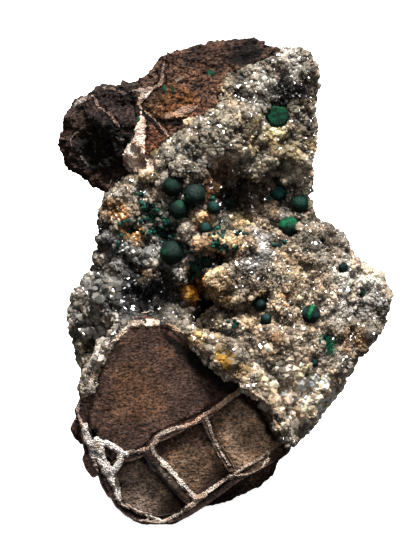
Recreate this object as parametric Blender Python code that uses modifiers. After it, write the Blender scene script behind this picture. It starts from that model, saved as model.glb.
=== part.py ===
# Malachite specimen: dark velvety malachite balls on a druse of small quartz crystals, over brown iron-rich
# host rock with white quartz veins standing proud of its broken faces.
#
# Everything is modelled face up: x across the show face, y up it and z out of it, in millimetres. The last
# step stands the specimen on its flat broken foot, as it is displayed.
import math
import random

import bmesh
import bpy
from mathutils import Matrix, Vector
from mathutils.bvhtree import BVHTree

MM = 0.001

# Driving dimensions, in millimetres and degrees.
LEAN_BACK = 15.0  # how far the show face leans back from upright when the specimen stands
FOOT_LEVEL = 3.8  # height of the flat foot along the standing direction
DRUSE_THICKNESS = 3.4  # crust of quartz over the rock
SEAM = 0.3  # gap between pieces that touch
GRAIN = 0.75  # size of the cells in which the rough stone is worked
FRACTURE_DEPTH = -15.0  # the stone is roughest in front, and smoother where it broke off behind this depth
FRACTURE_BLEND = 8.0
BACK_ROUGHNESS = 0.35
BALL_SINK = 0.55  # share of a ball's radius that sits in the druse
FACE_LEVEL = 15.6  # the broken face of the lower block, out from the middle plane
FACE_TILT = 0.12  # how much that face comes forward for each millimetre up
FACE_MIDDLE = (-4.7, 20.6)  # the place across and up where the face is at that level
FAR = 80.0  # further than any part of the specimen
VEIN_HEIGHT = 0.9  # how far the vein walls stand over the broken face
BLOCK_VEIN_DEPTH = 3.1  # and their whole depth, mostly sunk in the rock
SURFACE_VEIN_HEIGHT = 0.5  # the same for the veins that follow the rounded surfaces
SURFACE_VEIN_DEPTH = 2.2
VEIN_BUILD = {"block_veins": (BLOCK_VEIN_DEPTH, 460), "lobe_veins": (SURFACE_VEIN_DEPTH, 170),
              "nodule_vein": (SURFACE_VEIN_DEPTH, 50)}  # depth and triangles
LEAST_SLENDERNESS = 1.3  # a vein wall is at least this many times as deep as thick
SLOT_FINENESS = 1.4  # a slot has this many times the facets of its vein
VEIN_GRAIN = 0.26  # size of the cells in which the veins are worked
SLOT_MARGIN = 0.45  # room round a vein in its slot, before the slot's facets take some of it
HOLLOW_ROOM = 1.6  # more crust under the hollows, where the facets of its inner side are coarse
DRUSE_BACK = -8.0  # how far back the druse runs round the edges, from the middle plane
DRUSE_LEAN = -0.12  # and further back to the right by this much for each millimetre
# Count, smallest and largest radius, and length over radius: a few whole prisms, and more pointed heads.
CRYSTAL_BATCHES = [(14, 0.9, 1.3, 2.2), (20, 0.9, 1.3, 0.0), (10, 0.8, 1.1, 0.0)]
CRYSTAL_MARGIN = 1.2  # crystals keep this far from the edge of the druse
BALL_FACETS = [(0.9, (5, 4)), (1.5, (7, 5)), (FAR, (9, 6))]  # facets round and up a ball, to that radius
SPRAY_NEEDLES = 5
SPRAY_ROOT = 0.75
BEADS_IN_GROUP = 3
BEAD_SIZES = (0.55, 0.8)
BEAD_SPREAD = 0.6
SOCKET_ROOM = 1.2  # a coarse ball's corners over the round ball inside its facets
CAP_WELD = 0.01  # closes the caps of plates and walls
CUT_WELD = 0.001  # closes the seams of a cut
FLAT_ANGLE = 2.0
SEED = 11

# Triangle budgets of the faceted solids.
STONE_TRIANGLES = 2600
CORE_TRIANGLES = 200

# Colour and roughness of each material.
MATERIALS = {
    "host_rock": ((0.09, 0.045, 0.028), 0.85),
    "quartz": ((0.55, 0.52, 0.47), 0.25),
    "vein": ((0.74, 0.68, 0.62), 0.6),
    "malachite": ((0.01, 0.09, 0.06), 0.7),
}

# Outlines on the show face, in millimetres across and up.
TRUNK = [
    (-19.2, 67), (-20.8, 62), (-21.8, 55), (-22.2, 50.2), (-24.4, 48.2), (-25.4, 44.4), (-26.4, 41.4),
    (-26.2, 38), (-25.4, 33.4), (-24.6, 27.4), (-26.2, 23.8), (-24.8, 17), (-23.2, 11.8), (-18.6, 5),
    (-3.6, 2.6), (1.8, 3.6), (6.4, 5.8), (10.8, 8), (13.8, 10.4), (13.8, 13.4), (16.4, 15.8), (22, 22.6),
    (26.6, 28), (27, 32), (27.4, 45), (27.2, 57), (22, 60), (18.8, 67), (20.4, 73), (20.8, 78), (20.6, 85),
    (21.8, 90.2), (19.6, 94.6), (12.8, 96), (9, 97.8), (6.4, 97.8), (-0.6, 96.4), (-5.6, 95.6), (-8.2, 94.6),
    (-11.6, 90.6), (-14.6, 88.2), (-16, 75),
]
NODULE = [
    (-29.6, 75.4), (-29, 79.4), (-27.6, 83.4), (-24, 86.8), (-19.6, 87.8), (-14.6, 88.2), (-12, 85),
    (-12.4, 77), (-14.6, 71), (-18.6, 67.2), (-22, 68.8), (-25, 70.6), (-28, 72.4),
]
WING = [
    (22, 60), (27, 57.6), (27.8, 54.6), (30.2, 51.4), (34.4, 50.2), (36.6, 47), (36.6, 43), (35, 39.4),
    (32.6, 36.6), (28.8, 32.6), (27, 30), (26.6, 27.4), (22, 22.6), (17.6, 17.4), (12.4, 21), (10.8, 45),
    (16.4, 58),
]
BLOCK = [
    (-24.8, 25.8), (-23.2, 31), (-21, 35.4), (-18.2, 38.6), (-14.6, 41), (-9.6, 41), (-5.2, 38.4),
    (1.4, 33.4), (7.8, 28.2), (12, 22), (16.8, 15.8), (14.4, 13.8), (7.4, 9.4), (2, 5.6), (-2.4, 2.8),
    (-4.8, 1), (-9.6, 0.2), (-14.6, 1.2), (-18, 4.4), (-20.8, 9.8), (-23.6, 14), (-24.8, 17),
    (-25.6, 21.4), (-26.2, 23.8),
]
SHELF = [
    (-19.2, 66), (-13.6, 69), (-8.6, 70.6), (-0.6, 70.6), (2.8, 65), (3.4, 58), (0.8, 53.4), (-3.6, 51.4),
    (-9.6, 52.6), (-15.6, 54.6), (-20.8, 57),
]
RIDGE = [
    (-0.6, 57), (6.4, 59.4), (16.4, 57), (22.4, 58), (27, 52.6), (27.4, 45), (26.8, 31), (20.4, 23),
    (16.4, 17), (10.8, 23.4), (7.4, 29), (1.4, 34.6), (0.8, 40), (2.8, 45), (-0.6, 50),
]
BROW = [
    (-11.6, 72), (-5.6, 76.4), (1.4, 84), (7.4, 92.6), (12.8, 96), (19.6, 94.6), (21.8, 90.6), (20.6, 86),
    (21, 79), (20.4, 73), (10.4, 69.8), (-1.6, 70.6),
]
LOBE = [
    (-14.6, 88), (-11.6, 90.4), (-8.2, 94.4), (-0.6, 96), (6.4, 97.4), (12, 95), (7.4, 91), (1.4, 83),
    (-5.6, 76), (-12.6, 70), (-15.6, 79),
]
RIM = [
    (-22.6, 27), (-21, 34.6), (-18.2, 38.4), (-14.6, 41), (-9, 41.4), (-3, 39.4), (4, 36), (9.4, 31),
    (14, 24), (16.8, 16), (15, 15.6), (10.8, 22.6), (6.4, 27.8), (0.4, 33), (-5.6, 37.6), (-9.6, 39.8),
    (-14.2, 39.8), (-17.6, 37.4), (-20.4, 33.8), (-21.4, 27),
]
UNDERCUT = [
    (-5.6, 3.4), (1.6, 3.6), (6, 5.6), (10.8, 8), (13.8, 10.4), (14, 14), (8.4, 17), (-5.6, 11),
]

# The druse covers this part of the front, and runs round the right and left edges.
DRUSE_BOUNDS = [
    (14, 95), (24.4, 99), (28, 79), (23.4, 64), (32, 60), (41, 49), (41, 39), (33, 29), (28, 25),
    (17.6, 15.4), (15, 17.6), (12.8, 20.6), (11.8, 24.6), (7, 27.8), (3.4, 30.4), (-1.6, 34), (-5.4, 38.2),
    (-9.4, 40.4), (-14, 40.4), (-17.8, 37.8), (-20.8, 33.6), (-22.2, 26.6), (-30, 25.4), (-31, 39),
    (-28, 53), (-23.6, 62), (-20, 67), (-16.8, 69.4), (-13, 70.4), (-11.6, 73.6), (-9, 76.4), (-5.8, 78.8),
    (-1.8, 81.6), (1.6, 83.4), (2, 86), (3.4, 88.4), (3.8, 90.8), (8.6, 92),
]

# Knobs of the druse: outline, count, smallest and largest radius. Then those of its edges: side, lowest and
# highest place up, and count.
KNOB_ZONES = [(RIDGE, 75, 1.5, 2.7), (WING, 26, 1.2, 2.0), (SHELF, 26, 1.0, 1.7), (BROW, 44, 1.0, 1.8),
              (DRUSE_BOUNDS, 90, 0.9, 1.5)]
SIDE_KNOBS = [(1, 20, 96, 70), (-1, 27, 66, 30)]

# The broken face of the lower block, and the panels that broke out deeper in it: depth and outline.
FACE = [
    (-27, 20), (-25.6, 25.4), (-22.4, 26.6), (-20.8, 33.6), (-17.8, 37.8), (-14, 40.4), (-9.4, 40.4),
    (-5.4, 38.2), (-1.6, 34), (3.4, 30.4), (7, 27.8), (11.8, 24.6), (12.8, 20.6), (15, 17.6), (19, 15.6),
    (14.4, 10), (7.4, 5), (2, 1.4), (-2.4, -1), (-9.6, -2), (-16, -1), (-21, 3), (-26, 11),
]
PANELS = {
    "right": (1.5, [(7.6, 28.6), (13, 25), (18, 19), (14.6, 16.4), (8.4, 12), (4.8, 10.4), (3.4, 13.8), (-0.4, 21.9)]),
    "middle": (0.9, [(-0.8, 21.8), (3.2, 13.8), (4.4, 10), (1.4, 7.4), (-2.6, 4.8), (-8.6, 11), (-11.4, 15), (-6.4, 19)]),
    "lower": (2.1, [(-12.2, 14.6), (-8.8, 10.4), (-3.4, 4.4), (-5.6, 2.6), (-9.6, 2), (-13.6, 2.7), (-16, 4.2),
                    (-18, 7.4), (-19.4, 10.4), (-17, 13)]),
}
PITS = {
    "slot": (5.0, [(-23.5, 19.6), (-22.2, 19.4), (-22.3, 16.2), (-23, 16)]),
    "triangle": (4.5, [(-20.6, 15.4), (-18.9, 14.6), (-19.5, 12.4)]),
    "outer": (5.5, [(-23, 13), (-21.3, 12.8), (-21, 9.6), (-22.1, 9.2)]),
}

# Vein walls on the lower block: thickness and path.
BLOCK_VEINS = [
    (1.1, [(7.2, 28), (3.4, 25.4), (-0.6, 22.4), (-3.6, 21.2), (-6.6, 19.4), (-10.4, 17.8), (-11.6, 15.8),
           (-13.6, 15), (-15.4, 14.2), (-17.4, 14)]),
    (1.5, [(-17.4, 14), (-18.6, 14.8), (-20, 16), (-21.4, 16.6), (-21.6, 14.4), (-23.2, 15.2)]),
    (1.3, [(-25, 24.4), (-24.7, 22), (-24.2, 19.8), (-23.8, 17.6), (-23.2, 15.2), (-23.7, 13.8), (-23.3, 12.4),
           (-22.2, 10.8)]),
    (1.7, [(-23.2, 15.2), (-21.6, 14.4), (-20.8, 12.6), (-20.4, 10.8), (-20, 9), (-18.8, 7)]),
    (2.0, [(-17.4, 14), (-18.4, 12.4), (-19.6, 11.4), (-20.4, 10.8)]),
    (1.2, [(-12, 15.2), (-10.4, 12.6), (-8.6, 10.8), (-6.6, 8.6), (-4.6, 6.4), (-2.6, 4.8)]),
    (0.7, [(-0.6, 21.9), (0.6, 19), (2, 16.2), (3.4, 13.8), (4.6, 11.8)]),
    (0.8, [(-18.8, 7), (-17.8, 5), (-16.2, 3.4), (-13.6, 2.2), (-9.6, 1.6), (-5.6, 2.3), (-2.6, 4),
           (1.4, 6.8), (4.8, 9.4), (8.4, 11.6), (12.4, 13.8), (14.6, 15.8)]),
]

# Vein walls that follow the surface of the upper lobe and of the rounded nodule: thickness and path.
LOBE_VEINS = [
    (0.8, [(-8.6, 93), (-9.3, 90.4), (-9.1, 88.4), (-11.2, 87.2), (-13.3, 85.2), (-13.9, 83.8)]),
    (0.7, [(-13.9, 83.8), (-12.2, 82.6), (-10.4, 81), (-8.2, 78.4)]),
    (0.9, [(-13.9, 83.8), (-13.4, 82), (-13.3, 79.4)]),
    (2.0, [(-13.3, 79.4), (-13.9, 76.6), (-14.8, 73.8)]),
    (3.2, [(-14.3, 75.4), (-14.9, 73.2)]),
]
NODULE_VEINS = [(0.7, [(-22.8, 85), (-22.2, 83.8), (-20.2, 81.9), (-17.9, 79.6)])]

# Malachite balls: place across and up, and radius.
BALLS = [
    (-7.0, 67.6, 1.85), (-2.6, 65.8, 2.1), (-5.8, 63.0, 1.85), (-7.2, 54.4, 2.3), (14.2, 66.6, 1.65),
    (18.6, 64.4, 1.7), (16.4, 59.6, 2.0), (20.6, 42.2, 1.75), (10.3, 44.2, 1.4), (11.5, 41.2, 1.1),
    (21.0, 32.4, 1.0), (-0.6, 59.2, 1.25), (4.2, 64.4, 1.05), (1.1, 63.3, 1.3), (-0.2, 52.4, 1.15),
    (27.2, 51.4, 1.1), (31.2, 46.4, 0.8),
]
SPLIT_BALL = (14.0, 81.6, 2.1)
SPRAY = (24.6, 35.0)
BEADS = [(-11.4, 62.0), (-8.8, 58.2), (-15.0, 59.4), (-2.4, 51.0), (2.6, 55.2)]


def clear_scene():
    for obj in list(bpy.data.objects):
        bpy.data.objects.remove(obj, do_unlink=True)


def new_object(name, data):
    obj = bpy.data.objects.new(name, data)
    bpy.context.scene.collection.objects.link(obj)
    return obj


def settle(obj, weld=0.0):
    """Turns the object into the plain mesh that its modifiers or its curve make, and closes seams up to weld."""
    graph = bpy.context.evaluated_depsgraph_get()
    mesh = bpy.data.meshes.new_from_object(obj.evaluated_get(graph))
    mesh.transform(obj.matrix_world)
    name = obj.name
    bpy.data.objects.remove(obj, do_unlink=True)
    shape = bmesh.new()
    shape.from_mesh(mesh)
    if weld:
        bmesh.ops.remove_doubles(shape, verts=shape.verts, dist=weld * MM)
    bmesh.ops.triangulate(shape, faces=shape.faces)
    shape.to_mesh(mesh)
    shape.free()
    return new_object(name, mesh)


def from_bmesh(name, shape):
    mesh = bpy.data.meshes.new(name)
    shape.to_mesh(mesh)
    shape.free()
    return new_object(name, mesh)


def copy_of(obj, name):
    return new_object(name, obj.data.copy())


def joined(name, objects):
    """One object that holds the shells of all of them."""
    shape = bmesh.new()
    for obj in objects:
        shape.from_mesh(obj.data)
        bpy.data.objects.remove(obj, do_unlink=True)
    return from_bmesh(name, shape)


def boolean(obj, other, operation):
    """Cuts, joins or intersects obj with other, which is used up."""
    modifier = obj.modifiers.new(operation.lower(), "BOOLEAN")
    modifier.operation = operation
    modifier.solver = "EXACT"
    modifier.object = other
    result = settle(obj, weld=CUT_WELD)
    bpy.data.objects.remove(other, do_unlink=True)
    return result


def united(name, objects):
    """Grows overlapping pieces into one solid."""
    whole = objects[0]
    for piece in objects[1:]:
        whole = boolean(whole, piece, "UNION")
    whole.name = name
    return whole


def plate(name, outline, back, front, slope=(0.0, 0.0), middle=None):
    """A closed plate of that outline between two depths, sheared by slope about its middle."""
    curve = bpy.data.curves.new(name, "CURVE")
    curve.dimensions = "2D"
    curve.fill_mode = "BOTH"
    curve.extrude = (front - back) / 2 * MM
    spline = curve.splines.new("POLY")
    spline.points.add(len(outline) - 1)
    for point, (across, up) in zip(spline.points, outline):
        point.co = (across * MM, up * MM, 0, 1)
    spline.use_cyclic_u = True
    obj = settle(new_object(name, curve), weld=CAP_WELD)
    if middle is None:
        middle = [(min(values) + max(values)) / 2 for values in zip(*outline)]
    for vertex in obj.data.vertices:
        lean = slope[0] * (vertex.co.x - middle[0] * MM) + slope[1] * (vertex.co.y - middle[1] * MM)
        vertex.co.z += (front + back) / 2 * MM + lean
    return obj


def lump(name, centre, radii, turn=(0, 0, 0), subdivisions=3):
    """A rounded mass: a ball scaled to its three radii and turned, in degrees, about x, y and z in turn."""
    shape = bmesh.new()
    bmesh.ops.create_icosphere(shape, subdivisions=subdivisions, radius=MM)
    place = Matrix.Translation(Vector(centre) * MM)
    for angle, axis in zip(reversed(turn), "ZYX"):
        place = place @ Matrix.Rotation(math.radians(angle), 4, axis)
    bmesh.ops.transform(shape, matrix=place @ Matrix.Diagonal((*radii, 1.0)), verts=shape.verts)
    return from_bmesh(name, shape)


def remeshed(obj, cell, smoothing=0):
    """Grows the overlapping shells together into one skin of even cells."""
    remesh = obj.modifiers.new("skin", "REMESH")
    remesh.mode = "VOXEL"
    remesh.voxel_size = cell * MM
    if smoothing:
        soften = obj.modifiers.new("soften", "SMOOTH")
        soften.factor = 0.5
        soften.iterations = smoothing
    return settle(obj)


def roughen(obj, scale, height):
    """Raises the surface by clouds of noise of that scale, in millimetres, and the flat breaks of the back less."""
    group = obj.vertex_groups.get("front") or obj.vertex_groups.new(name="front")
    for vertex in obj.data.vertices:
        forward = (vertex.co.z / MM - FRACTURE_DEPTH) / FRACTURE_BLEND
        group.add([vertex.index], max(BACK_ROUGHNESS, min(1.0, forward)), "REPLACE")
    texture = bpy.data.textures.new("noise", "CLOUDS")
    texture.noise_scale = scale * MM
    texture.noise_depth = 2
    displace = obj.modifiers.new("roughen", "DISPLACE")
    displace.texture = texture
    displace.texture_coords = "LOCAL"
    displace.strength = height * MM
    displace.vertex_group = group.name


def grown(obj, name, distance):
    """A copy whose surface stands out by that distance, or in where it is negative."""
    copy = copy_of(obj, name)
    displace = copy.modifiers.new("grow", "DISPLACE")
    displace.strength = distance * MM
    displace.mid_level = 0.0
    return settle(copy)


def thinned(obj, triangles):
    """Fewer, larger facets."""
    count = sum(len(face.vertices) - 2 for face in obj.data.polygons)
    decimate = obj.modifiers.new("facets", "DECIMATE")
    decimate.ratio = min(1.0, triangles / count)
    decimate.use_collapse_triangulate = True
    return settle(obj)


def flattened(obj):
    """Merges the slivers that cuts leave in flat faces."""
    dissolve = obj.modifiers.new("flat", "DECIMATE")
    dissolve.decimate_type = "DISSOLVE"
    dissolve.angle_limit = math.radians(FLAT_ANGLE)
    return settle(obj)


def largest_island(obj):
    """Drops the crumbs that a cut leaves loose."""
    shape = bmesh.new()
    shape.from_mesh(obj.data)
    unseen = set(shape.faces)
    islands = []
    while unseen:
        waiting = [unseen.pop()]
        island = list(waiting)
        while waiting:
            for edge in waiting.pop().edges:
                for face in edge.link_faces:
                    if face in unseen:
                        unseen.discard(face)
                        island.append(face)
                        waiting.append(face)
        islands.append(island)
    islands.sort(key=lambda faces: sum(face.calc_area() for face in faces))
    crumbs = [face for island in islands[:-1] for face in island]
    bmesh.ops.delete(shape, geom=crumbs, context="FACES")
    shape.to_mesh(obj.data)
    shape.free()
    return obj


def tree_of(obj):
    shape = bmesh.new()
    shape.from_mesh(obj.data)
    tree = BVHTree.FromBMesh(shape)
    shape.free()
    return tree


def first_hit(tree, start, direction):
    """The first point of the stone that a ray meets, in millimetres, and the way the stone faces there."""
    point, normal, _, _ = tree.ray_cast(Vector(start) * MM, Vector(direction))
    return (None, None) if point is None else (point / MM, normal)


def surface_at(tree, across, up):
    return first_hit(tree, (across, up, FAR), (0, 0, -1))


def inside(outline, x, y):
    hit = False
    for (x0, y0), (x1, y1) in zip(outline, outline[1:] + outline[:1]):
        if (y0 > y) != (y1 > y) and x < x0 + (y - y0) * (x1 - x0) / (y1 - y0):
            hit = not hit
    return hit


def drawn_in(outline, distance):
    """The same outline, that much smaller all round."""
    points = [Vector(point) for point in outline]
    turns = zip(points, points[1:] + points[:1])
    sign = 1 if sum(a.x * b.y - b.x * a.y for a, b in turns) > 0 else -1
    result = []
    for before, point, after in zip(points[-1:] + points[:-1], points, points[1:] + points[:1]):
        sides = [(b - a).normalized() for a, b in ((before, point), (point, after))]
        normals = [Vector((-side.y, side.x)) * sign for side in sides]
        corner = point + (normals[0] + normals[1]) * distance / (1 + normals[0].dot(normals[1]))
        result.append(tuple(corner))
    return result


def stone_masses():
    """The main masses, as broken plates and rounded lumps that run into each other."""
    return [
        plate("trunk", drawn_in(TRUNK, -0.2), -14, 0, (-0.1, 0.0)),
        plate("nodule", drawn_in(NODULE, -0.5), -15, 0.5, (0.1, 0.1)),
        lump("nodule_round", (-20.6, 78.6, -5), (9.0, 9.4, 9.2)),
        plate("wing", drawn_in(WING, -0.3), -13, -1.5, (-0.35, 0.0)),
        plate("block", BLOCK, -8, 16.6, (0.0, FACE_TILT)),
        plate("shelf", SHELF, -4, 7.5, (0.3, 0.1)),
        plate("ridge", RIDGE, -8, 7.5, (-0.3, -0.12)),
        plate("brow", BROW, -10, 4.0, (-0.3, -0.1)),
        plate("lobe", LOBE, -14, 3.0, (0.0, -0.3)),
        plate("rim", RIM, -4, 17.8, (0.07, FACE_TILT)),
        plate("undercut", UNDERCUT, -12, 6.0),
        lump("valley_floor", (-13, 43, 3), (11, 6, 9), (-35, 0, 0)),
        lump("valley_back", (-9, 51, 1.5), (9, 4.5, 4)),
        lump("ridge_crest", (9, 49, 6), (10, 5, 6), (0, 10, -8)),
        lump("ridge_low", (13, 35, 6), (9, 9, 7), (0, 20, 0)),
        lump("brow_crest", (1.5, 77, 5), (10, 4.5, 5), (0, 8, 30)),
        lump("lower_back", (-3, 34, -13), (21, 30, 15)),
        lump("upper_back", (2, 78, -11), (17, 18, 9)),
        lump("side_knob", (-26, 18.4, -4), (2.6, 2.2, 5)),
        lump("base", (-5, 14, -10), (15, 14, 21)),
    ]


def hollows(room=0.0):
    """What is missing from those masses: the vug under its brow, and the open gaps between the ledges."""
    places = (
        ("valley", (-8, 47.5, 13), (13, 3.4, 8), (-20, 12, -6)),
        ("valley_end", (4, 41, 14), (5, 3, 8), (0, 0, 30)),
        ("vug", (7, 65.5, 6), (6.5, 4.6, 9), (-25, 0, 0)),
        ("vug_right", (14.5, 67.5, 2), (5.5, 5, 8), (-25, 0, 0)),
        ("notch", (15, 85.5, 5), (5.2, 2.6, 6), (-20, 0, 18)),
        ("pocket", (1.5, 53, 12), (3.4, 3.6, 7), (0, 0, 0)),
        ("top_hollow", (8.6, 91.2, 5), (3.4, 1.6, 5), (-20, 0, 12)),
        ("nodule_gap", (-20, 69, 6), (9, 4, 8), (0, 0, 20)),
        ("nodule_pit", (-22, 75.6, 6.5), (6.6, 4.6, 8), (-25, 0, -42)),
        ("nodule_groove", (-16.4, 79, 7), (1.2, 6, 4.5), (0, 0, 4)),
        ("lobe_panel", (-7.4, 85.6, 6), (6.2, 3.6, 3.2), (0, 0, 12)),
        ("lobe_undercut", (-5.8, 81.2, 5.5), (4.2, 1.1, 4), (-20, 0, 8)),
    )
    return [lump(name, centre, [radius + room for radius in radii], turn) for name, centre, radii, turn in places]


def fractures():
    """Flat breaks across the back and the sides, each a block of missing stone beyond a point and a direction."""
    places = (
        ((-3, 30, -23.5), (-0.18, -0.12, -1)),
        ((2, 80, -16.5), (0.22, 0.3, -1)),
        ((-17, 34, -19), (-1, -0.1, -0.75)),
        ((20, 45, -16.5), (0.5, 0.1, -1)),
        ((4, 93, -11), (0.1, 1, -0.8)),
        ((-22, 82, -12), (-0.8, 0.5, -1)),
    )
    blocks = []
    for point, direction in places:
        shape = bmesh.new()
        bmesh.ops.create_cube(shape, size=2 * FAR)
        turned = Vector(direction).to_track_quat("Z", "Y").to_matrix().to_4x4()
        place = Matrix.Translation(point) @ turned @ Matrix.Translation((0, 0, FAR))
        bmesh.ops.transform(shape, matrix=Matrix.Scale(MM, 4) @ place, verts=shape.verts)
        blocks.append(from_bmesh("fracture", shape))
    return blocks


def druse_knobs(tree):
    """Rounded knobs of grown-together crystals: large ones on the ridge, smaller ones over the rest."""
    chance = random.Random(SEED)
    knobs = []

    def grow(point, normal, radius):
        if point is not None:
            knobs.append(lump("knob", point - normal * radius * 0.35, (radius,) * 3, subdivisions=2))

    for outline, count, smallest, largest in KNOB_ZONES:
        xs, ys = zip(*outline)
        placed = 0
        while placed < count:
            x, y = chance.uniform(min(xs), max(xs)), chance.uniform(min(ys), max(ys))
            if inside(outline, x, y):
                grow(*surface_at(tree, x, y), chance.uniform(smallest, largest))
                placed += 1
    for side, lowest, highest, count in SIDE_KNOBS:
        for _ in range(count):
            start = (side * FAR, chance.uniform(lowest, highest), chance.uniform(DRUSE_BACK + 1, 3))
            grow(*first_hit(tree, start, (-side, 0, 0)), chance.uniform(0.8, 1.3))
    return knobs


def worked_stone():
    """The whole stone, before it is parted into rock and druse."""
    stone = remeshed(joined("stone", stone_masses()), GRAIN * 1.5, smoothing=3)
    for missing in [*hollows(), *fractures()]:
        stone = boolean(stone, missing, "DIFFERENCE")
    stone = remeshed(joined("stone", [*druse_knobs(tree_of(stone)), stone]), GRAIN * 0.85, smoothing=2)
    roughen(stone, 7.0, 1.6)
    roughen(stone, 2.4, 0.7)
    stone = thinned(settle(stone), STONE_TRIANGLES)
    foot = plate("foot", [(-FAR, -FAR), (FAR, -FAR), (FAR, 0), (-FAR, 0)], -FAR, FAR)
    foot.data.transform(Matrix.Rotation(math.radians(LEAN_BACK), 4, "X"))
    for vertex in foot.data.vertices:
        vertex.co.y += FOOT_LEVEL * MM / math.cos(math.radians(LEAN_BACK))
    return largest_island(boolean(stone, foot, "DIFFERENCE"))


def core_of(stone, depth):
    """The inner surface of the druse: the stone's own surface, softened and drawn in by that depth."""
    core = remeshed(copy_of(stone, "core"), 1.8, smoothing=14)
    shrink = core.modifiers.new("draw_in", "DISPLACE")
    shrink.strength = -depth * MM
    shrink.mid_level = 0.0
    core = remeshed(settle(core), 1.4)
    for hollow in hollows(depth + HOLLOW_ROOM):
        core = boolean(core, hollow, "DIFFERENCE")
    return thinned(remeshed(core, 1.6, smoothing=9), CORE_TRIANGLES)


def face_cutters():
    """The flat panels and the pits that broke out of the face of the lower block."""
    cutters = [plate("face", drawn_in(FACE, -SEAM * 2), FACE_LEVEL, FAR, (0.0, FACE_TILT), FACE_MIDDLE)]
    for name, (depth, outline) in [*PANELS.items(), *PITS.items()]:
        cutters.append(plate(name, outline, FACE_LEVEL - depth, FAR, (0.0, FACE_TILT), FACE_MIDDLE))
    return cutters


def wall(name, thickness, depth, path):
    """A wall of quartz along a path of points, its rounded edge towards the viewer."""
    curve = bpy.data.curves.new(name, "CURVE")
    curve.dimensions = "3D"
    curve.twist_mode = "Z_UP"
    curve.bevel_depth = thickness / 2 * MM
    curve.bevel_resolution = 1
    curve.extrude = (depth - thickness) / 2 * MM
    curve.use_fill_caps = True
    spline = curve.splines.new("POLY")
    spline.points.add(len(path) - 1)
    for point, place in zip(spline.points, path):
        point.co = (*(value * MM for value in place), 1)
    return settle(new_object(name, curve), weld=CAP_WELD)


def lengthened(path, distance):
    """The same path with both ends that much further out."""
    points = [Vector(place) for place in path]
    first = points[0] + (points[0] - points[1]).normalized() * distance
    last = points[-1] + (points[-1] - points[-2]).normalized() * distance
    return [first, *points[1:-1], last]


def network(name, routes, depth, triangles, margin):
    """Walls grown together into one vein, or with a margin the slot that it sits in."""
    walls = []
    for thickness, path in routes:
        deep = max(depth, thickness * LEAST_SLENDERNESS)
        walls.append(wall(name, thickness + 2 * margin, deep + 2 * margin, lengthened(path, margin)))
    vein = remeshed(joined(name, walls), VEIN_GRAIN, smoothing=1)
    return thinned(vein, triangles * (SLOT_FINENESS if margin else 1))


def block_vein_routes():
    """The vein paths on the lower block, laid in its sloping face."""
    level = FACE_LEVEL + VEIN_HEIGHT - BLOCK_VEIN_DEPTH / 2
    return [(thickness, [(x, y, level + FACE_TILT * (y - FACE_MIDDLE[1])) for x, y in path])
            for thickness, path in BLOCK_VEINS]


def surface_vein_routes(tree, veins):
    """Vein paths that follow the surface of the stone."""
    level = Vector((0, 0, SURFACE_VEIN_HEIGHT - SURFACE_VEIN_DEPTH / 2))
    return [(thickness, [surface_at(tree, x, y)[0] + level for x, y in path]) for thickness, path in veins]


def crystal(point, normal, radius, slenderness, chance):
    """A quartz crystal rooted under the surface: a six-sided prism with a pointed end, or the pointed end alone."""
    shape = bmesh.new()
    point_height = radius * chance.uniform(1.0, 1.4)
    length = radius * slenderness
    if slenderness:
        bmesh.ops.create_cone(shape, cap_ends=True, segments=6, radius1=radius, radius2=radius * 0.9, depth=length)
        top = max((face for face in shape.faces if len(face.verts) == 6), key=lambda face: face.verts[0].co.z)
        tip = bmesh.ops.poke(shape, faces=[top])["verts"][0]
        tip.co.z += point_height
        middle = length * 0.12
    else:
        bmesh.ops.create_cone(shape, cap_ends=True, segments=6, radius1=radius * 1.5, radius2=0,
                              depth=point_height * 1.9)
        middle = point_height * 0.2
    lean = Vector((chance.gauss(0, 1), chance.gauss(0, 1), chance.gauss(0, 1))) * 0.28
    along = (normal + lean).normalized().to_track_quat("Z", "Y").to_matrix().to_4x4()
    spin = Matrix.Rotation(chance.uniform(0, math.pi), 4, "Z")
    place = Matrix.Translation(point) @ along @ spin @ Matrix.Translation((0, 0, middle))
    bmesh.ops.transform(shape, matrix=Matrix.Scale(MM, 4) @ place, verts=shape.verts)
    return from_bmesh("crystal", shape)


def crystal_batches(tree):
    """Batches of crystals over the druse. Those of one batch keep clear of each other."""
    chance = random.Random(SEED + 1)
    xs, ys = zip(*DRUSE_BOUNDS)
    batches = []
    room = drawn_in(DRUSE_BOUNDS, CRYSTAL_MARGIN)
    for count, smallest, largest, slenderness in CRYSTAL_BATCHES:
        places = []
        batch = []
        for _ in range(4000):
            if len(batch) == count:
                break
            x, y = chance.uniform(min(xs), max(xs)), chance.uniform(min(ys), max(ys))
            if not inside(room, x, y):
                continue
            point, normal = surface_at(tree, x, y)
            radius = chance.uniform(smallest, largest)
            if point is None or any((point - other).length < radius * 3.0 + size * 1.4 for other, size in places):
                continue
            places.append((point, radius))
            batch.append(crystal(point, normal, radius, slenderness, chance))
        batches.append(joined("crystals", batch))
    return batches


def druse_prism(margin):
    return plate("druse_bounds", drawn_in(DRUSE_BOUNDS, margin), DRUSE_BACK + margin, FAR, (DRUSE_LEAN, 0.0))


def ball_at(name, centre, radius):
    segments, rings = next(counts for largest, counts in BALL_FACETS if radius <= largest)
    shape = bmesh.new()
    bmesh.ops.create_uvsphere(shape, u_segments=segments, v_segments=rings, radius=radius * MM)
    bmesh.ops.translate(shape, vec=Vector(centre) * MM, verts=shape.verts)
    return from_bmesh(name, shape)


def ball(name, tree, across, up, radius, sink=BALL_SINK):
    """A malachite ball that sits in the druse at that place."""
    level = surface_at(tree, across, up)[0].z
    return ball_at(name, (across, up, level + radius * (1 - sink)), radius)


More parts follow.
